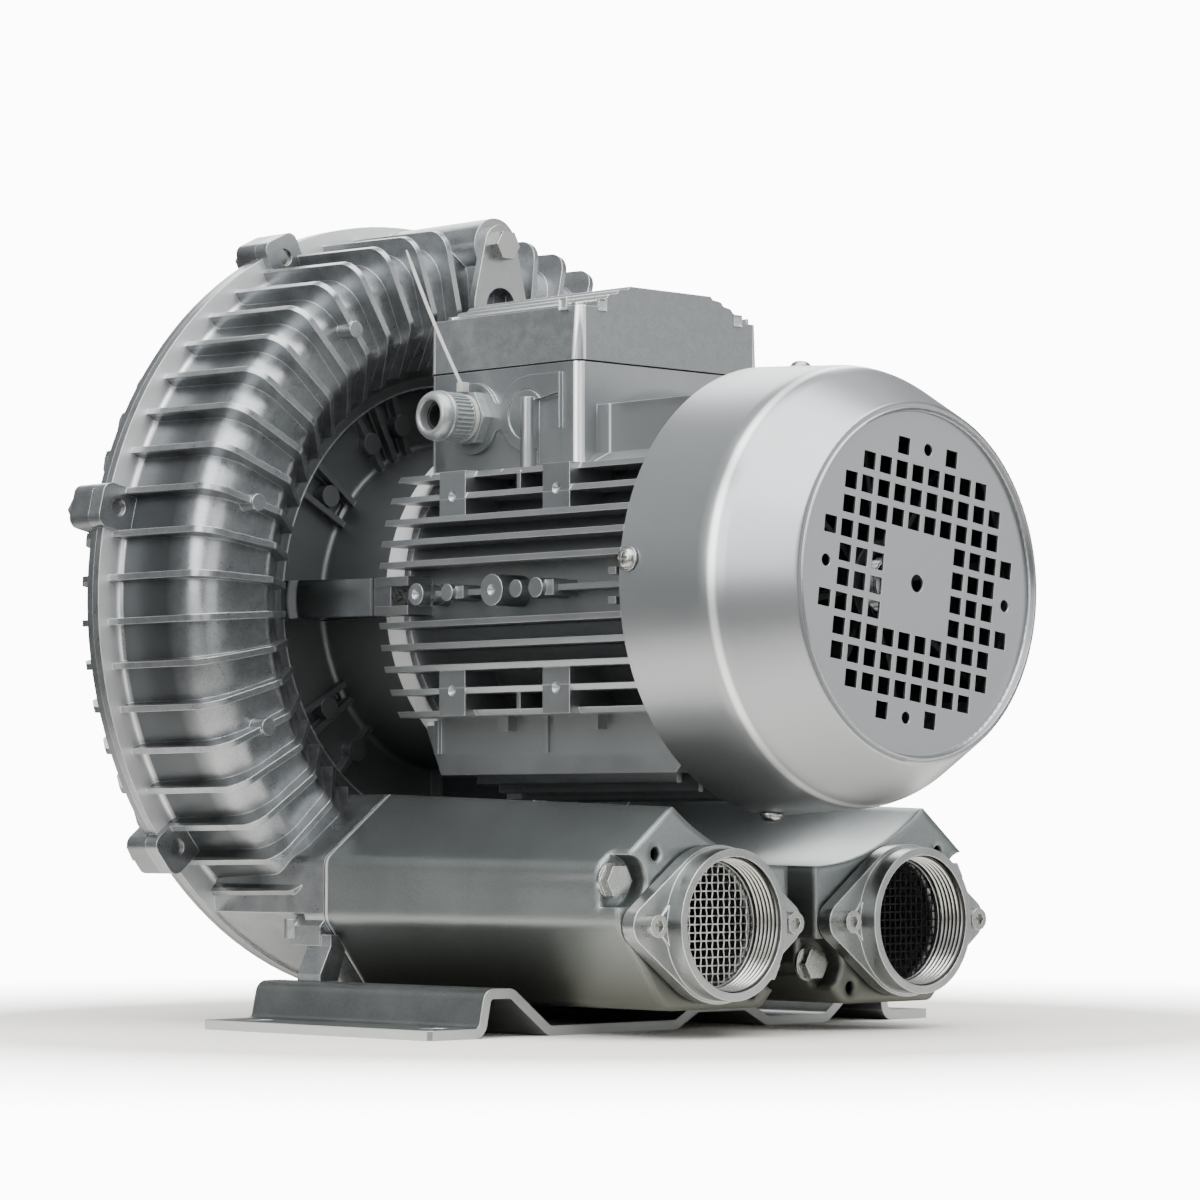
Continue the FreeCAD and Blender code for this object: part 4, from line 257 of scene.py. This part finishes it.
def overlay(material, zone, code, roughness):
    """Second colour and roughness over a material in one of its zones, for real finishes and for painted shade and
    highlights.
    """
    mask = mask_of(material, zone)
    shader = material.node_tree.nodes["Principled BSDF"]
    links = material.node_tree.links
    colour, gloss = shader.inputs["Base Color"], shader.inputs["Roughness"]
    tinted = add(material, "Mix", {
        MIX_FACTOR: mask, MIX_COLOUR_A: colour.links[0].from_socket, MIX_COLOUR_B: linear(code)}, data_type="RGBA")
    links.new(tinted.outputs[MIX_COLOUR_OUT], colour)
    dulled = add(material, "Mix", {
        MIX_FACTOR: mask, MIX_VALUE_A: gloss.links[0].from_socket, MIX_VALUE_B: roughness}, data_type="FLOAT")
    links.new(dulled.outputs[MIX_VALUE_OUT], gloss)


# Blasting grit and plating are finer than the render can show, so their grain is drawn 0.25 to 0.8 mm wide.
MATERIALS = {
    # blasted casting: fine sandy grain, cloudy gloss between the ribs, edges painted bright as a highlight
    "casing": surface(
        "blasted_die_cast_aluminium", ("#8d9093", "#a6a9aa"), metallic=0.95, roughness=(0.32, 0.05),
        grain=(0.8, 0.02), cloud=9, edge_highlight=(0.5, "#d4d6d6")),
    # the same casting on the rear cover, darker and less glossy
    "cover": surface(
        "blasted_rear_cover_aluminium", ("#7b7e80", "#909394"), metallic=0.95, roughness=(0.36, 0.05),
        grain=(0.8, 0.02), cloud=10, edge_highlight=(0.5, "#c6c8c8")),
    # motor barrel: the same metal with finer grain, evener gloss and a nearly white painted highlight on its edges
    "barrel": surface(
        "blasted_motor_barrel_aluminium", ("#939698", "#9fa2a4"), metallic=0.95, roughness=(0.34, 0.03),
        grain=(0.6, 0.025), cloud=18, edge_highlight=(0.5, "#dcdede")),
    # lid of the terminal box: coarse sandy skin that breaks up the light
    "lid": surface(
        "sandy_cast_lid_aluminium", ("#8a8d8e", "#9b9e9f"), metallic=0.9, roughness=(0.4, 0.04),
        grain=(0.8, 0.07), cloud=5, edge_highlight=(0.5, "#e4e6e6")),
    # silencers: darker silver coat over the casting, with soft corners and a fine sparkle
    "silencer": surface(
        "silver_coated_silencer_casting", ("#7f8484", "#8c9191"), metallic=0.9, roughness=(0.32, 0.03),
        grain=(0.8, 0.03), cloud=40, edge_highlight=(0.5, "#dcdede"), soft=5),
    # port flanges: smooth casting with clear gloss and a white painted highlight on the edges
    "flange": surface(
        "cast_port_flange_aluminium", ("#8e9191", "#a6a9a8"), metallic=0.95, roughness=(0.3, 0.03),
        grain=(0.6, 0.006), cloud=14, edge_highlight=(0.6, "#f0f1f0")),
    # thread: freshly cut metal, brighter and smoother than the casting round it
    "cut_thread": surface(
        "machined_port_thread_aluminium", ("#b9b9b4", "#d2d2ce"), metallic=1.0, roughness=(0.22, 0.04),
        grain=(0.25, 0.004), cloud=6),
    # turned impeller: bright and even
    "machined": surface(
        "turned_impeller_aluminium", ("#a9abac", "#c3c5c5"), metallic=1.0, roughness=(0.28, 0.05),
        grain=(0.3, 0.006), cloud=8, edge_highlight=(0.5, "#e4e4e4")),
    # fan cover: pressed sheet with a satin silver coat, very fine and even
    "sheet": surface(
        "satin_silver_coated_sheet", ("#9b9ea0", "#a1a4a6"), metallic=0.9, roughness=(0.3, 0.02),
        grain=(0.5, 0.004), cloud=60, edge_highlight=(0.5, "#dadcdc")),
    # zinc plating: slightly warm and blotched
    "zinc": surface(
        "zinc_plated_steel", ("#9d9e9b", "#adaeab"), metallic=1.0, roughness=(0.28, 0.04),
        grain=(0.4, 0.006), cloud=6, edge_highlight=(0.35, "#ecece8")),
    # plated lug plate: the same zinc on rough sheet, so duller and more uneven
    "lug": surface(
        "zinc_plated_lug_plate", ("#949796", "#b3b5b4"), metallic=1.0, roughness=(0.36, 0.07),
        grain=(0.5, 0.012), cloud=6, edge_highlight=(0.6, "#dcdedd")),
    # foot plate: mill-finished sheet, dull and a little streaky
    "plate": surface(
        "mill_finish_foot_plate_steel", ("#727676", "#828685"), metallic=0.95, roughness=(0.34, 0.05),
        grain=(0.8, 0.02), cloud=24, edge_highlight=(0.6, "#d2d4d2")),
    # ground shaft: smooth, with clear reflections
    "ground": surface(
        "ground_shaft_steel", ("#a2a3a4", "#b8b9ba"), metallic=1.0, roughness=(0.22, 0.04),
        grain=(0.3, 0.004), cloud=8),
    # bearings: almost a mirror
    "polished": surface(
        "polished_bearing_steel", ("#b0b1b3", "#c4c5c6"), metallic=1.0, roughness=(0.14, 0.03),
        grain=(0.3, 0.002), cloud=8),
    # stacked sheets of the cores: dark grey and dull
    "core": surface(
        "laminated_core_steel", ("#4c4e52", "#64676b"), metallic=0.9, roughness=(0.45, 0.06),
        grain=(0.5, 0.02), cloud=7),
    # windings: red-brown wire under varnish, with a grain as wide as the wire
    "copper": surface(
        "varnished_copper_winding", ("#7a3f1e", "#a5602f"), metallic=0.6, roughness=(0.35, 0.08),
        grain=(1.1, 0.25), cloud=6),
    # seals: near black and matt
    "rubber": surface(
        "black_nitrile_rubber", ("#161616", "#242424"), metallic=0.0, roughness=(0.65, 0.08),
        grain=(0.5, 0.02), cloud=9),
    # gaskets: dark and dry, with visible fibres
    "gasket": surface(
        "dark_fibre_gasket_sheet", ("#1d1f1e", "#343635"), metallic=0.0, roughness=(0.8, 0.08),
        grain=(0.5, 0.04), cloud=5),
    # cooling fan: black with the even satin skin of a moulding
    "fan": surface(
        "black_moulded_fan_nylon", ("#151517", "#232326"), metallic=0.0, roughness=(0.5, 0.06),
        grain=(0.5, 0.012), cloud=12),
    # terminal board: brownish black and a little glossy
    "board": surface(
        "black_terminal_board_resin", ("#1c1a18", "#2c2926"), metallic=0.0, roughness=(0.4, 0.06),
        grain=(0.6, 0.015), cloud=9),
    # tabs of the lid: casting painted nearly white as a painted highlight
    "highlit": surface(
        "highlit_lid_tab_aluminium", ("#b4b7b7", "#cdd0cf"), metallic=0.9, roughness=(0.4, 0.04),
        grain=(0.8, 0.02), cloud=5, edge_highlight=(0.5, "#ffffff")),
    # terminal studs: yellow and smooth
    "brass": surface(
        "turned_terminal_brass", ("#a98a45", "#c4a55c"), metallic=1.0, roughness=(0.25, 0.05),
        grain=(0.4, 0.006), cloud=4),
    # gland: grey with a silvery pigment that gives it a soft metal gloss
    "nylon": surface(
        "grey_moulded_gland_nylon", ("#8d9191", "#9a9e9e"), metallic=0.55, roughness=(0.3, 0.04),
        grain=(0.5, 0.008), cloud=7, edge_highlight=(0.4, "#c8cbcb")),
    # cable tie: milky, with a faint sheen
    "tie": surface(
        "natural_nylon_tie", ("#a9aaa6", "#bdbeba"), metallic=0.1, roughness=(0.4, 0.05),
        grain=(0.5, 0.01), cloud=6),
    # silencer liners: nearly black, with deep open pores
    "foam": surface(
        "open_silencer_foam", ("#08080a", "#1a1a1c"), metallic=0.0, roughness=(0.95, 0.04),
        grain=(1.4, 0.8), cloud=5),
    # screen of the left port: clean bright wire
    "bright_wire": surface(
        "woven_steel_wire", ("#b8b8b4", "#d4d4d0"), metallic=1.0, roughness=(0.3, 0.06),
        grain=(0.3, 0.006), cloud=3),
    # screen of the right port: the same wire painted near black, a painted shade as it sits in shadow in the port
    "shaded_wire": surface(
        "painted_shade_steel_wire", ("#141414", "#242423"), metallic=0.8, roughness=(0.5, 0.06),
        grain=(0.3, 0.006), cloud=3)}

# Second finishes, painted shade and painted highlights. A bound is what it measures, the value where the overlay
# begins, and the one where it is full.
# painted highlights beside the rounded corners of the terminal box and its lid
BOX_CORNER_HIGHLIGHTS = (
    ("from_box_corner", 0.0026, 0.0029), ("from_box_corner", 0.0043, 0.0040), ("at_z", 0.255, 0.256))
OVERLAYS = (
    # the front face of the casing flange is nearly white
    ("casing", (("from_shaft", 0.1785, 0.179), ("at_y", 0.128, 0.129), ("faces_y", -0.5, -0.8)), "#f2f3f3", 0.5),
    # painted shade: the side of the ring between the ribs is painted darker than its shoulder and front, most of
    # all low down
    ("casing", (
        ("from_shaft", 0.160, 0.172), ("from_shaft", 0.183, 0.182), ("faces_y", -0.5, -0.15),
        ("at_y", 0.084, 0.098), ("at_z", 0.42, 0.24)), "#595c5e", 0.36),
    # painted shade: the recess round the motor is painted dull and dark, where shade falls in it
    ("casing", (("from_shaft", 0.124, 0.112), ("at_y", 0.044, 0.047)), "#6a6d6e", 0.5),
    # painted shade: the arms in the recess are painted darker still, with a little gloss
    ("casing", (
        ("from_shaft", 0.083, 0.0836), ("from_shaft", 0.112, 0.111), ("at_y", 0.0925, 0.0915)), "#4a4d4e", 0.24),
    # painted highlight: the rim where the recess begins is painted bright along its edge
    ("casing", (
        ("from_shaft", 0.1078, 0.1081), ("from_shaft", 0.1097, 0.1092), ("at_y", 0.0962, 0.0956)), "#d4d6d6", 0.35),
    # the turned end of the barrel next to the casing is painted white, partly its bright turned metal and partly a
    # painted highlight
    ("barrel", (("from_shaft", 0.0846, 0.0844), ("at_y", 0.0372, 0.0376)), "#ffffff", 0.55),
    # painted shade in the bottoms of the slots between the cooling fins
    ("barrel", (("from_shaft", 0.0975, 0.094), ("at_y", 0.0366, 0.034)), "#8f9293", 0.45),
    # painted highlights: two narrow upright stripes beside each rounded corner of the terminal box and its lid are
    # painted white
    ("barrel", BOX_CORNER_HIGHLIGHTS, "#ffffff", 0.4),
    ("lid", BOX_CORNER_HIGHLIGHTS, "#ffffff", 0.4),
    # painted shade: the underside of the silencers is painted darker and a little olive towards the bottom
    ("silencer", (("at_z", 0.062, 0.018),), "#5f6059", 0.34),
    # their rims at the joint to the casing are bare
    ("silencer", (("at_y", 0.0488, 0.0494),), "#f0f1f0", 0.5),
    # the roots of the thread are darker
    ("cut_thread", (("from_port", 0.0287, 0.0293),), "#3a3a37", 0.5),
    # painted highlight: the coat is painted bright along the bend where the side of the fan cover turns into the
    # cone
    ("sheet", (("at_y", -0.1785, -0.1768), ("at_y", -0.1735, -0.1752)), "#eef0f0", 0.34),
    # the shorn edges of the foot plate are rough and bright
    ("plate", (("square_y", 0.9, 0.98),), "#b4b7b5", 0.55),
    ("plate", (("square_x", 0.9, 0.98), ("at_z", 0.0052, 0.0048)), "#c6c9c6", 0.55))

for finish, zone_bounds, zone_code, zone_roughness in OVERLAYS:
    overlay(MATERIALS[finish], zone_bounds, zone_code, zone_roughness)

NODE_MATERIALS = {
    "casing": "casing", "casing_cover": "cover", "motor_housing": "barrel", "end_shield": "barrel",
    "box_lid": "lid", "muffler_left": "silencer", "muffler_right": "silencer",
    "port_flange_left": "flange", "port_flange_right": "flange", "fan_cover": "sheet",
    "foot_plate": "plate", "lifting_lug": "lug", "lifting_bolt": "zinc", "cover_bolts": "zinc",
    "muffler_bolts": "zinc", "flange_screws": "zinc", "housing_screws": "zinc", "shield_screws": "zinc",
    "fan_cover_screws": "zinc", "lid_screws": "zinc", "foot_bolts": "zinc", "impeller_bolt": "zinc",
    "impeller_washer": "zinc", "impeller": "machined", "shaft": "ground", "impeller_key": "ground",
    "rotor_core": "core", "stator_core": "core", "stator_windings": "copper",
    "bearing_inner_races": "polished", "bearing_outer_races": "polished", "bearing_balls": "polished",
    "wave_spring": "polished", "fan_clip": "polished", "shaft_seals": "rubber", "gland_seal": "rubber",
    "box_gasket": "gasket", "muffler_gaskets": "gasket", "flange_gaskets": "gasket",
    "cooling_fan": "fan", "terminal_board": "board", "terminal_studs": "brass",
    "gland_body": "nylon", "gland_nut": "nylon", "cable_tie": "tie", "silencer_foam": "foam",
    "port_screens": "shaded_wire"}

for node_name, node_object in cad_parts.items():
    node_object.data.materials.clear()
    node_object.data.materials.append(MATERIALS[NODE_MATERIALS[node_name]])


# pieces that only the scene has

DOUBLES_WITHIN = 1e-6


def clean_mesh(name, bm):
    """Mesh of a piece, with its doubles merged and its faces outwards."""
    bmesh.ops.remove_doubles(bm, verts=bm.verts, dist=DOUBLES_WITHIN)
    bmesh.ops.recalc_face_normals(bm, faces=bm.faces)
    mesh = bpy.data.meshes.new(name)
    bm.to_mesh(mesh)
    bm.free()
    return mesh


def keep_piece(name, bm, material, sharp=35):
    """Shade a piece smooth up to an angle in degrees, and fix it to the standing parts."""
    mesh = clean_mesh(name, bm)
    mesh.shade_smooth()
    mesh.set_sharp_from_angle(angle=math.radians(sharp))
    mesh.materials.append(MATERIALS[material])
    piece = bpy.data.objects.new(name, mesh)
    bpy.context.scene.collection.objects.link(piece)
    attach(piece, "housing")
    return piece


def spun(bm, points, centre, axis, steps, angle=2 * math.pi, rise=0.0, closed=False):
    """Turn a chain of points about an axis, with a rise along it at each step."""
    verts = [bm.verts.new(p) for p in points]
    edges = [bm.edges.new(pair) for pair in zip(verts, verts[1:])]
    if closed:
        edges.append(bm.edges.new((verts[-1], verts[0])))
    bmesh.ops.spin(
        bm, geom=verts + edges, cent=centre, axis=axis, dvec=Vector(axis) * rise, angle=angle, steps=steps,
        use_merge=not rise, use_duplicate=False)
    bm.verts.ensure_lookup_table()
    bm.verts.index_update()


def block(bm, place, size):
    """Vertices of a new box with its middle at the place."""
    matrix = Matrix.Translation(place) @ Matrix.Diagonal((*size, 1))
    return bmesh.ops.create_cube(bm, size=1.0, matrix=matrix)["verts"]


def outer_face(verts, direction):
    """Face at these vertices that lies farthest in a direction."""
    faces = dict.fromkeys(face for vert in verts for face in vert.link_faces)
    return max(faces, key=lambda face: face.calc_center_median().dot(Vector(direction)))


def soften(bm, edges, radius):
    """Round some edges of a piece."""
    bmesh.ops.bevel(bm, geom=edges, offset=radius, segments=2, profile=0.5, affect="EDGES", material=-1)


THREAD_START_Y = -0.1557
THREAD_PITCH = 0.002309
THREAD_TURNS = 6
THREAD_STEPS = 80
THREAD_ROOT_R = 0.0299
THREAD_CREST_R = 0.02845
# share of the pitch that the flat crest takes, and turns over which the thread runs out at its mouth and bottom
THREAD_FLAT = 0.14
THREAD_RUN_IN = 0.3
THREAD_RUN_OUT = 0.5


def port_thread(side):
    """Cut thread in a port mouth, which runs out at the mouth and at the bottom."""
    x = side * PORT_X
    half = THREAD_PITCH / 2
    rows = (
        (THREAD_ROOT_R, -half), (THREAD_CREST_R, -half * THREAD_FLAT), (THREAD_CREST_R, half * THREAD_FLAT),
        (THREAD_ROOT_R, half))
    chain = [(x, THREAD_START_Y + half + dy, PORT_Z + r) for r, dy in rows]
    steps = THREAD_STEPS * THREAD_TURNS
    bm = bmesh.new()
    spun(bm, chain, (x, 0, PORT_Z), (0, 1, 0), steps, 2 * math.pi * THREAD_TURNS, THREAD_PITCH / THREAD_STEPS, True)
    for vert in bm.verts:
        step = vert.index // len(rows)
        height = min(
            1.0, step / (THREAD_STEPS * THREAD_RUN_IN), (steps - step) / (THREAD_STEPS * THREAD_RUN_OUT))
        line = Vector((x, vert.co.y, PORT_Z))
        arm = vert.co - line
        arm.length = THREAD_ROOT_R + (arm.length - THREAD_ROOT_R) * height
        vert.co = line + arm
    name = "port_thread_" + ("left" if side < 0 else "right")
    return keep_piece(name, bm, "cut_thread", sharp=50)


MESH_Y = -0.13875
MESH_R = 0.0282
MESH_PITCH = 0.00365
MESH_RIM_GAP = 0.0005
WIRE_R = 0.00036
WIRE_LIFT = 0.00042


def port_mesh(side, material):
    """Plain woven wire disc: each wire passes over and under its neighbours."""
    name = "port_mesh_" + ("left" if side < 0 else "right")
    curve = bpy.data.curves.new(name, "CURVE")
    curve.dimensions = "3D"
    curve.bevel_depth = WIRE_R
    curve.bevel_resolution = 1
    curve.resolution_u = 4
    count = int(MESH_R // MESH_PITCH)
    for way in (0, 1):
        for i in range(-count, count + 1):
            offset = i * MESH_PITCH
            half = math.sqrt(MESH_R ** 2 - offset ** 2)
            crossings = int((half - MESH_RIM_GAP) // MESH_PITCH)
            stops = [(-half, 0.0)]
            for k in range(-crossings, crossings + 1):
                stops.append((k * MESH_PITCH, WIRE_LIFT if (i + k + way) % 2 else -WIRE_LIFT))
            stops.append((half, 0.0))
            spline = curve.splines.new("NURBS")
            spline.points.add(len(stops) - 1)
            for point, (run, lift) in zip(spline.points, stops):
                dx, dz = (run, offset) if way == 0 else (offset, run)
                point.co = (side * PORT_X + dx, MESH_Y + lift, PORT_Z + dz, 1)
            spline.order_u = 3
            spline.use_endpoint_u = True
    wires = bpy.data.objects.new(name + "_wires", curve)
    bpy.context.scene.collection.objects.link(wires)
    depsgraph = bpy.context.evaluated_depsgraph_get()
    bm = bmesh.new()
    bm.from_mesh(bpy.data.meshes.new_from_object(wires.evaluated_get(depsgraph)))
    bpy.data.objects.remove(wires)
    piece = keep_piece(name, bm, material, sharp=60)
    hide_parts("port_screens")
    return piece


# gland nut from its joint to the cable mouth: distance along it and radius, in millimetres
GLAND_PROFILE = (
    (0.0, 9.9), (0.0, 11.1), (0.9, 11.3), (1.0, 11.5), (11.0, 11.5), (11.1, 11.5), (12.6, 12.0), (13.3, 11.8),
    (13.5, 11.6), (15.0, 11.7), (16.6, 11.4), (17.9, 10.7), (18.8, 9.7), (19.3, 8.7), (19.3, 7.8), (18.8, 7.2),
    (18.0, 7.0), (14.0, 7.0))
GLAND_GRIP = (3, 4)
GLAND_RIBS = 34
GLAND_RIB_STEPS = 4
GLAND_GROOVE = 0.0008


def gland_cap():
    """Ribbed nut of the cable gland with a fat rounded end round the cable mouth."""
    chain = [(GLAND_PLACE.x - d / 1000, GLAND_PLACE.y, GLAND_PLACE.z + r / 1000) for d, r in GLAND_PROFILE]
    bm = bmesh.new()
    spun(bm, chain, GLAND_PLACE, (1, 0, 0), GLAND_RIBS * GLAND_RIB_STEPS)
    for vert in bm.verts:
        step, row = divmod(vert.index, len(GLAND_PROFILE))
        if row in GLAND_GRIP and step % GLAND_RIB_STEPS >= GLAND_RIB_STEPS // 2:
            line = Vector((vert.co.x, GLAND_PLACE.y, GLAND_PLACE.z))
            arm = vert.co - line
            arm.length -= GLAND_GROOVE
            vert.co = line + arm
    piece = keep_piece("gland_cap", bm, "nylon", sharp=40)
    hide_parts("gland_nut")
    return piece


# pan head on its washer: distance out from the fan cover and radius, in millimetres
HEAD_PROFILE = (
    (-12.0, 0.0), (-12.0, 2.4), (0.0, 2.4), (0.0, 5.6), (0.8, 5.6), (0.9, 5.4), (0.9, 4.6), (1.7, 4.6),
    (2.6, 4.1), (3.3, 3.0), (3.6, 1.6), (3.7, 0.0))
CROSS_PLACE = (0.0036, 0, 0)
CROSS_BARS = ((0.003, 0.0011, 0.0052), (0.003, 0.0052, 0.0011))
HEAD_STEPS = 40
COVER_SCREWS = 4


def cover_screw_heads():
    """Pan-head screws with a cross recess on washers, all round the fan cover."""
    bm = bmesh.new()
    spun(bm, [(d / 1000, 0, r / 1000) for d, r in HEAD_PROFILE], (0, 0, 0), (1, 0, 0), HEAD_STEPS)
    head = bpy.data.objects.new("screw_head", clean_mesh("screw_head", bm))
    bm = bmesh.new()
    for size in CROSS_BARS:
        block(bm, CROSS_PLACE, size)
    cross = bpy.data.objects.new("screw_cross", clean_mesh("screw_cross", bm))
    for helper in (head, cross):
        bpy.context.scene.collection.objects.link(helper)
    cut = head.modifiers.new("cross", "BOOLEAN")
    cut.operation = "DIFFERENCE"
    cut.object = cross
    cut.use_self = True
    depsgraph = bpy.context.evaluated_depsgraph_get()
    screw = bpy.data.meshes.new_from_object(head.evaluated_get(depsgraph))
    for helper in (head, cross):
        bpy.data.objects.remove(helper)
    bm = bmesh.new()
    for i in range(COVER_SCREWS):
        before = len(bm.verts)
        bm.from_mesh(screw)
        bm.verts.ensure_lookup_table()
        turn = Matrix.Rotation(-(COVER_SCREW_TURN + i * 2 * math.pi / COVER_SCREWS), 4, "Y")
        place = Matrix.Translation((0, COVER_SCREW_Y, AXIS_Z)) @ turn @ Matrix.Translation((COVER_R, 0, 0))
        bmesh.ops.transform(bm, matrix=place, verts=bm.verts[before:])
    piece = keep_piece("cover_screw_heads", bm, "zinc", sharp=30)
    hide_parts("fan_cover_screws")
    return piece


TIE_X = -0.0685
# section of the band, in millimetres: place across it and radius
TIE_BAND = ((-1.2, 10.1), (1.2, 10.1), (1.2, 11.1), (-1.2, 11.1))
TIE_BAND_STEPS = 48
TIE_HEAD = Vector((TIE_X, 0.0133, 0.2980))
TIE_HEAD_SIZE = (0.0046, 0.0042, 0.0048)
TIE_HEAD_EDGE = 0.0004
TIE_SLOT_WALL = 0.0011
TIE_SLOT_DEPTH = 0.0012
TIE_END = Vector((TIE_X, 0.0529, 0.3663))
TIE_WIDTH = 0.0021
TIE_THICKNESS = 0.0008
TIE_BOW = 0.0012
TIE_TAIL_STEPS = 36
# share of the tail where its tip begins, and how much narrower the tip gets over a whole length
TIE_TIP = 0.9
TIE_TAPER = 0.012


def tie_strap():
    """Nylon tie round the gland thread: band, head with its slot, and the long free tail."""
    bm = bmesh.new()
    band = [(TIE_X + w / 1000, GLAND_PLACE.y, GLAND_PLACE.z + r / 1000) for w, r in TIE_BAND]
    spun(bm, band, (TIE_X, GLAND_PLACE.y, GLAND_PLACE.z), (1, 0, 0), TIE_BAND_STEPS, closed=True)
    head = block(bm, TIE_HEAD, TIE_HEAD_SIZE)
    edges = dict.fromkeys(edge for vert in head for edge in vert.link_edges)
    bmesh.ops.inset_individual(
        bm, faces=[outer_face(head, (0, 0, 1))], thickness=TIE_SLOT_WALL, depth=-TIE_SLOT_DEPTH)
    soften(bm, [edge for edge in edges if edge.is_valid], TIE_HEAD_EDGE)
    length = (TIE_END - TIE_HEAD).length
    run = (TIE_END - TIE_HEAD).normalized()
    across = run.cross(Vector((1, 0, 0)))
    along_tail = Matrix((
        (1, across.x, run.x, TIE_HEAD.x), (0, across.y, run.y, TIE_HEAD.y), (0, across.z, run.z, TIE_HEAD.z),
        (0, 0, 0, 1)))
    tail = bmesh.ops.create_grid(bm, x_segments=1, y_segments=TIE_TAIL_STEPS, size=0.5)["verts"]
    for vert in tail:
        share = vert.co.y + 0.5
        width = TIE_WIDTH - max(0.0, share - TIE_TIP) * TIE_TAPER
        bow = TIE_BOW * math.sin(math.pi * share)
        vert.co = along_tail @ Vector((vert.co.x * width, bow, share * length))
    faces = dict.fromkeys(face for vert in tail for face in vert.link_faces)
    bmesh.ops.solidify(bm, geom=list(faces), thickness=TIE_THICKNESS)
    piece = keep_piece("tie_strap", bm, "tie", sharp=40)
    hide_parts("cable_tie")
    return piece


# tabs beside the right front corner of the lid: place, size, and the way that each one faces
LID_TABS = (
    ((0.0600, -0.0455, 0.3327), (0.0016, 0.0052, 0.0056), (1, 0, 0)),
    ((0.0451, -0.0556, 0.3327), (0.0052, 0.0016, 0.0056), (0, -1, 0)))
LID_TAB_WALL = 0.0017
LID_TAB_DEPTH = 0.0007


def lid_tabs():
    """Slotted tabs on the edge of the terminal box lid, two beside each of the front corners."""
    bm = bmesh.new()
    for side in (-1, 1):
        for (x, y, z), size, (out_x, out_y, out_z) in LID_TABS:
            tab = block(bm, (side * x, y, z), size)
            front = outer_face(tab, (side * out_x, out_y, out_z))
            bmesh.ops.inset_individual(bm, faces=[front], thickness=LID_TAB_WALL, depth=-LID_TAB_DEPTH)
    return keep_piece("lid_tabs", bm, "highlit", sharp=30)


# rods that make up a lid screw: radius, and height of both ends
LID_SCREW_RODS = ((0.0020, 0.294, 0.3286), (0.0037, 0.3285, 0.3342))
LID_SCREW_SIDES = 32
LID_SCREW_EDGE = 0.0005
LID_SOCKET_WALL = 0.0018
LID_SOCKET_DEPTH = 0.0022


def lid_cap_screws():
    """Tall cap screws in the corners of the lid, which stand out of their seats."""
    bm = bmesh.new()
    for x, y in ((sx * LID_SCREW[0], BOX_MIDDLE[1] + sy * LID_SCREW[1]) for sx in (-1, 1) for sy in (-1, 1)):
        for radius, low, high in LID_SCREW_RODS:
            rod = bmesh.ops.create_cone(
                bm, cap_ends=True, segments=LID_SCREW_SIDES, radius1=radius, radius2=radius, depth=high - low,
                matrix=Matrix.Translation((x, y, (low + high) / 2)))["verts"]
        top = outer_face(rod, (0, 0, 1))
        rim = list(top.edges)
        bmesh.ops.inset_individual(bm, faces=[top], thickness=LID_SOCKET_WALL, depth=0.0)
        bmesh.ops.translate(bm, vec=(0, 0, -LID_SOCKET_DEPTH), verts=top.verts)
        soften(bm, rim, LID_SCREW_EDGE)
    piece = keep_piece("lid_cap_screws", bm, "zinc", sharp=30)
    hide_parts("lid_screws")
    return piece


# distance of each pair of fins from the middle, and the height of its lower edge
BELLY_FINS = ((0.044, 0.1125), (0.030, 0.1085), (0.015, 0.1055), (0.0, 0.1045))
BELLY_FIN_Y = -0.038
BELLY_FIN_LENGTH = 0.132
BELLY_FIN_THICKNESS = 0.0028
BELLY_FIN_ROOT = 0.001
BELLY_FIN_EDGE = 0.0007


def belly_fins():
    """Cooling fins under the barrel, between the two walls of its skirt. Those in the middle reach lowest."""
    bm = bmesh.new()
    for distance, low in BELLY_FINS:
        top = AXIS_Z - math.sqrt(BARREL_R ** 2 - distance ** 2) + BELLY_FIN_ROOT
        for x in {-distance, distance}:
            fin = block(
                bm, (x, BELLY_FIN_Y, (top + low) / 2), (BELLY_FIN_THICKNESS, BELLY_FIN_LENGTH, top - low))
            soften(bm, list(outer_face(fin, (0, 0, -1)).edges), BELLY_FIN_EDGE)
    return keep_piece("belly_fins", bm, "barrel")


# the right screen gets the wire painted near black as painted shade
for port_side, wire in ((-1, "bright_wire"), (1, "shaded_wire")):
    port_thread(port_side)
    port_mesh(port_side, wire)
gland_cap()
tie_strap()
cover_screw_heads()
lid_tabs()
lid_cap_screws()
belly_fins()


# floor

FLOOR_HALF = 8
FLOOR_FADE = (("from_middle", 0.30, 0.66),)


def lay_floor():
    """Pale paper under the blower, which fades into the backdrop all round."""
    # matt paper: warm white without gloss
    paper = surface(
        "pale_matt_paper", ("#f1eee6", "#f5f2ec"), metallic=0.0, roughness=(0.9, 0.03), grain=(4.0, 0.01),
        cloud=300)
    nodes, links = paper.node_tree.nodes, paper.node_tree.links
    clear = add(paper, "BsdfTransparent", {}).outputs[0]
    faded = add(paper, "MixShader", {
        0: mask_of(paper, FLOOR_FADE), 1: nodes["Principled BSDF"].outputs[0], 2: clear}).outputs[0]
    links.new(faded, nodes["Material Output"].inputs["Surface"])
    bm = bmesh.new()
    bmesh.ops.create_grid(bm, x_segments=1, y_segments=1, size=FLOOR_HALF)
    mesh = bpy.data.meshes.new("floor")
    bm.to_mesh(mesh)
    bm.free()
    mesh.materials.append(paper)
    floor = bpy.data.objects.new("floor", mesh)
    bpy.context.scene.collection.objects.link(floor)


lay_floor()
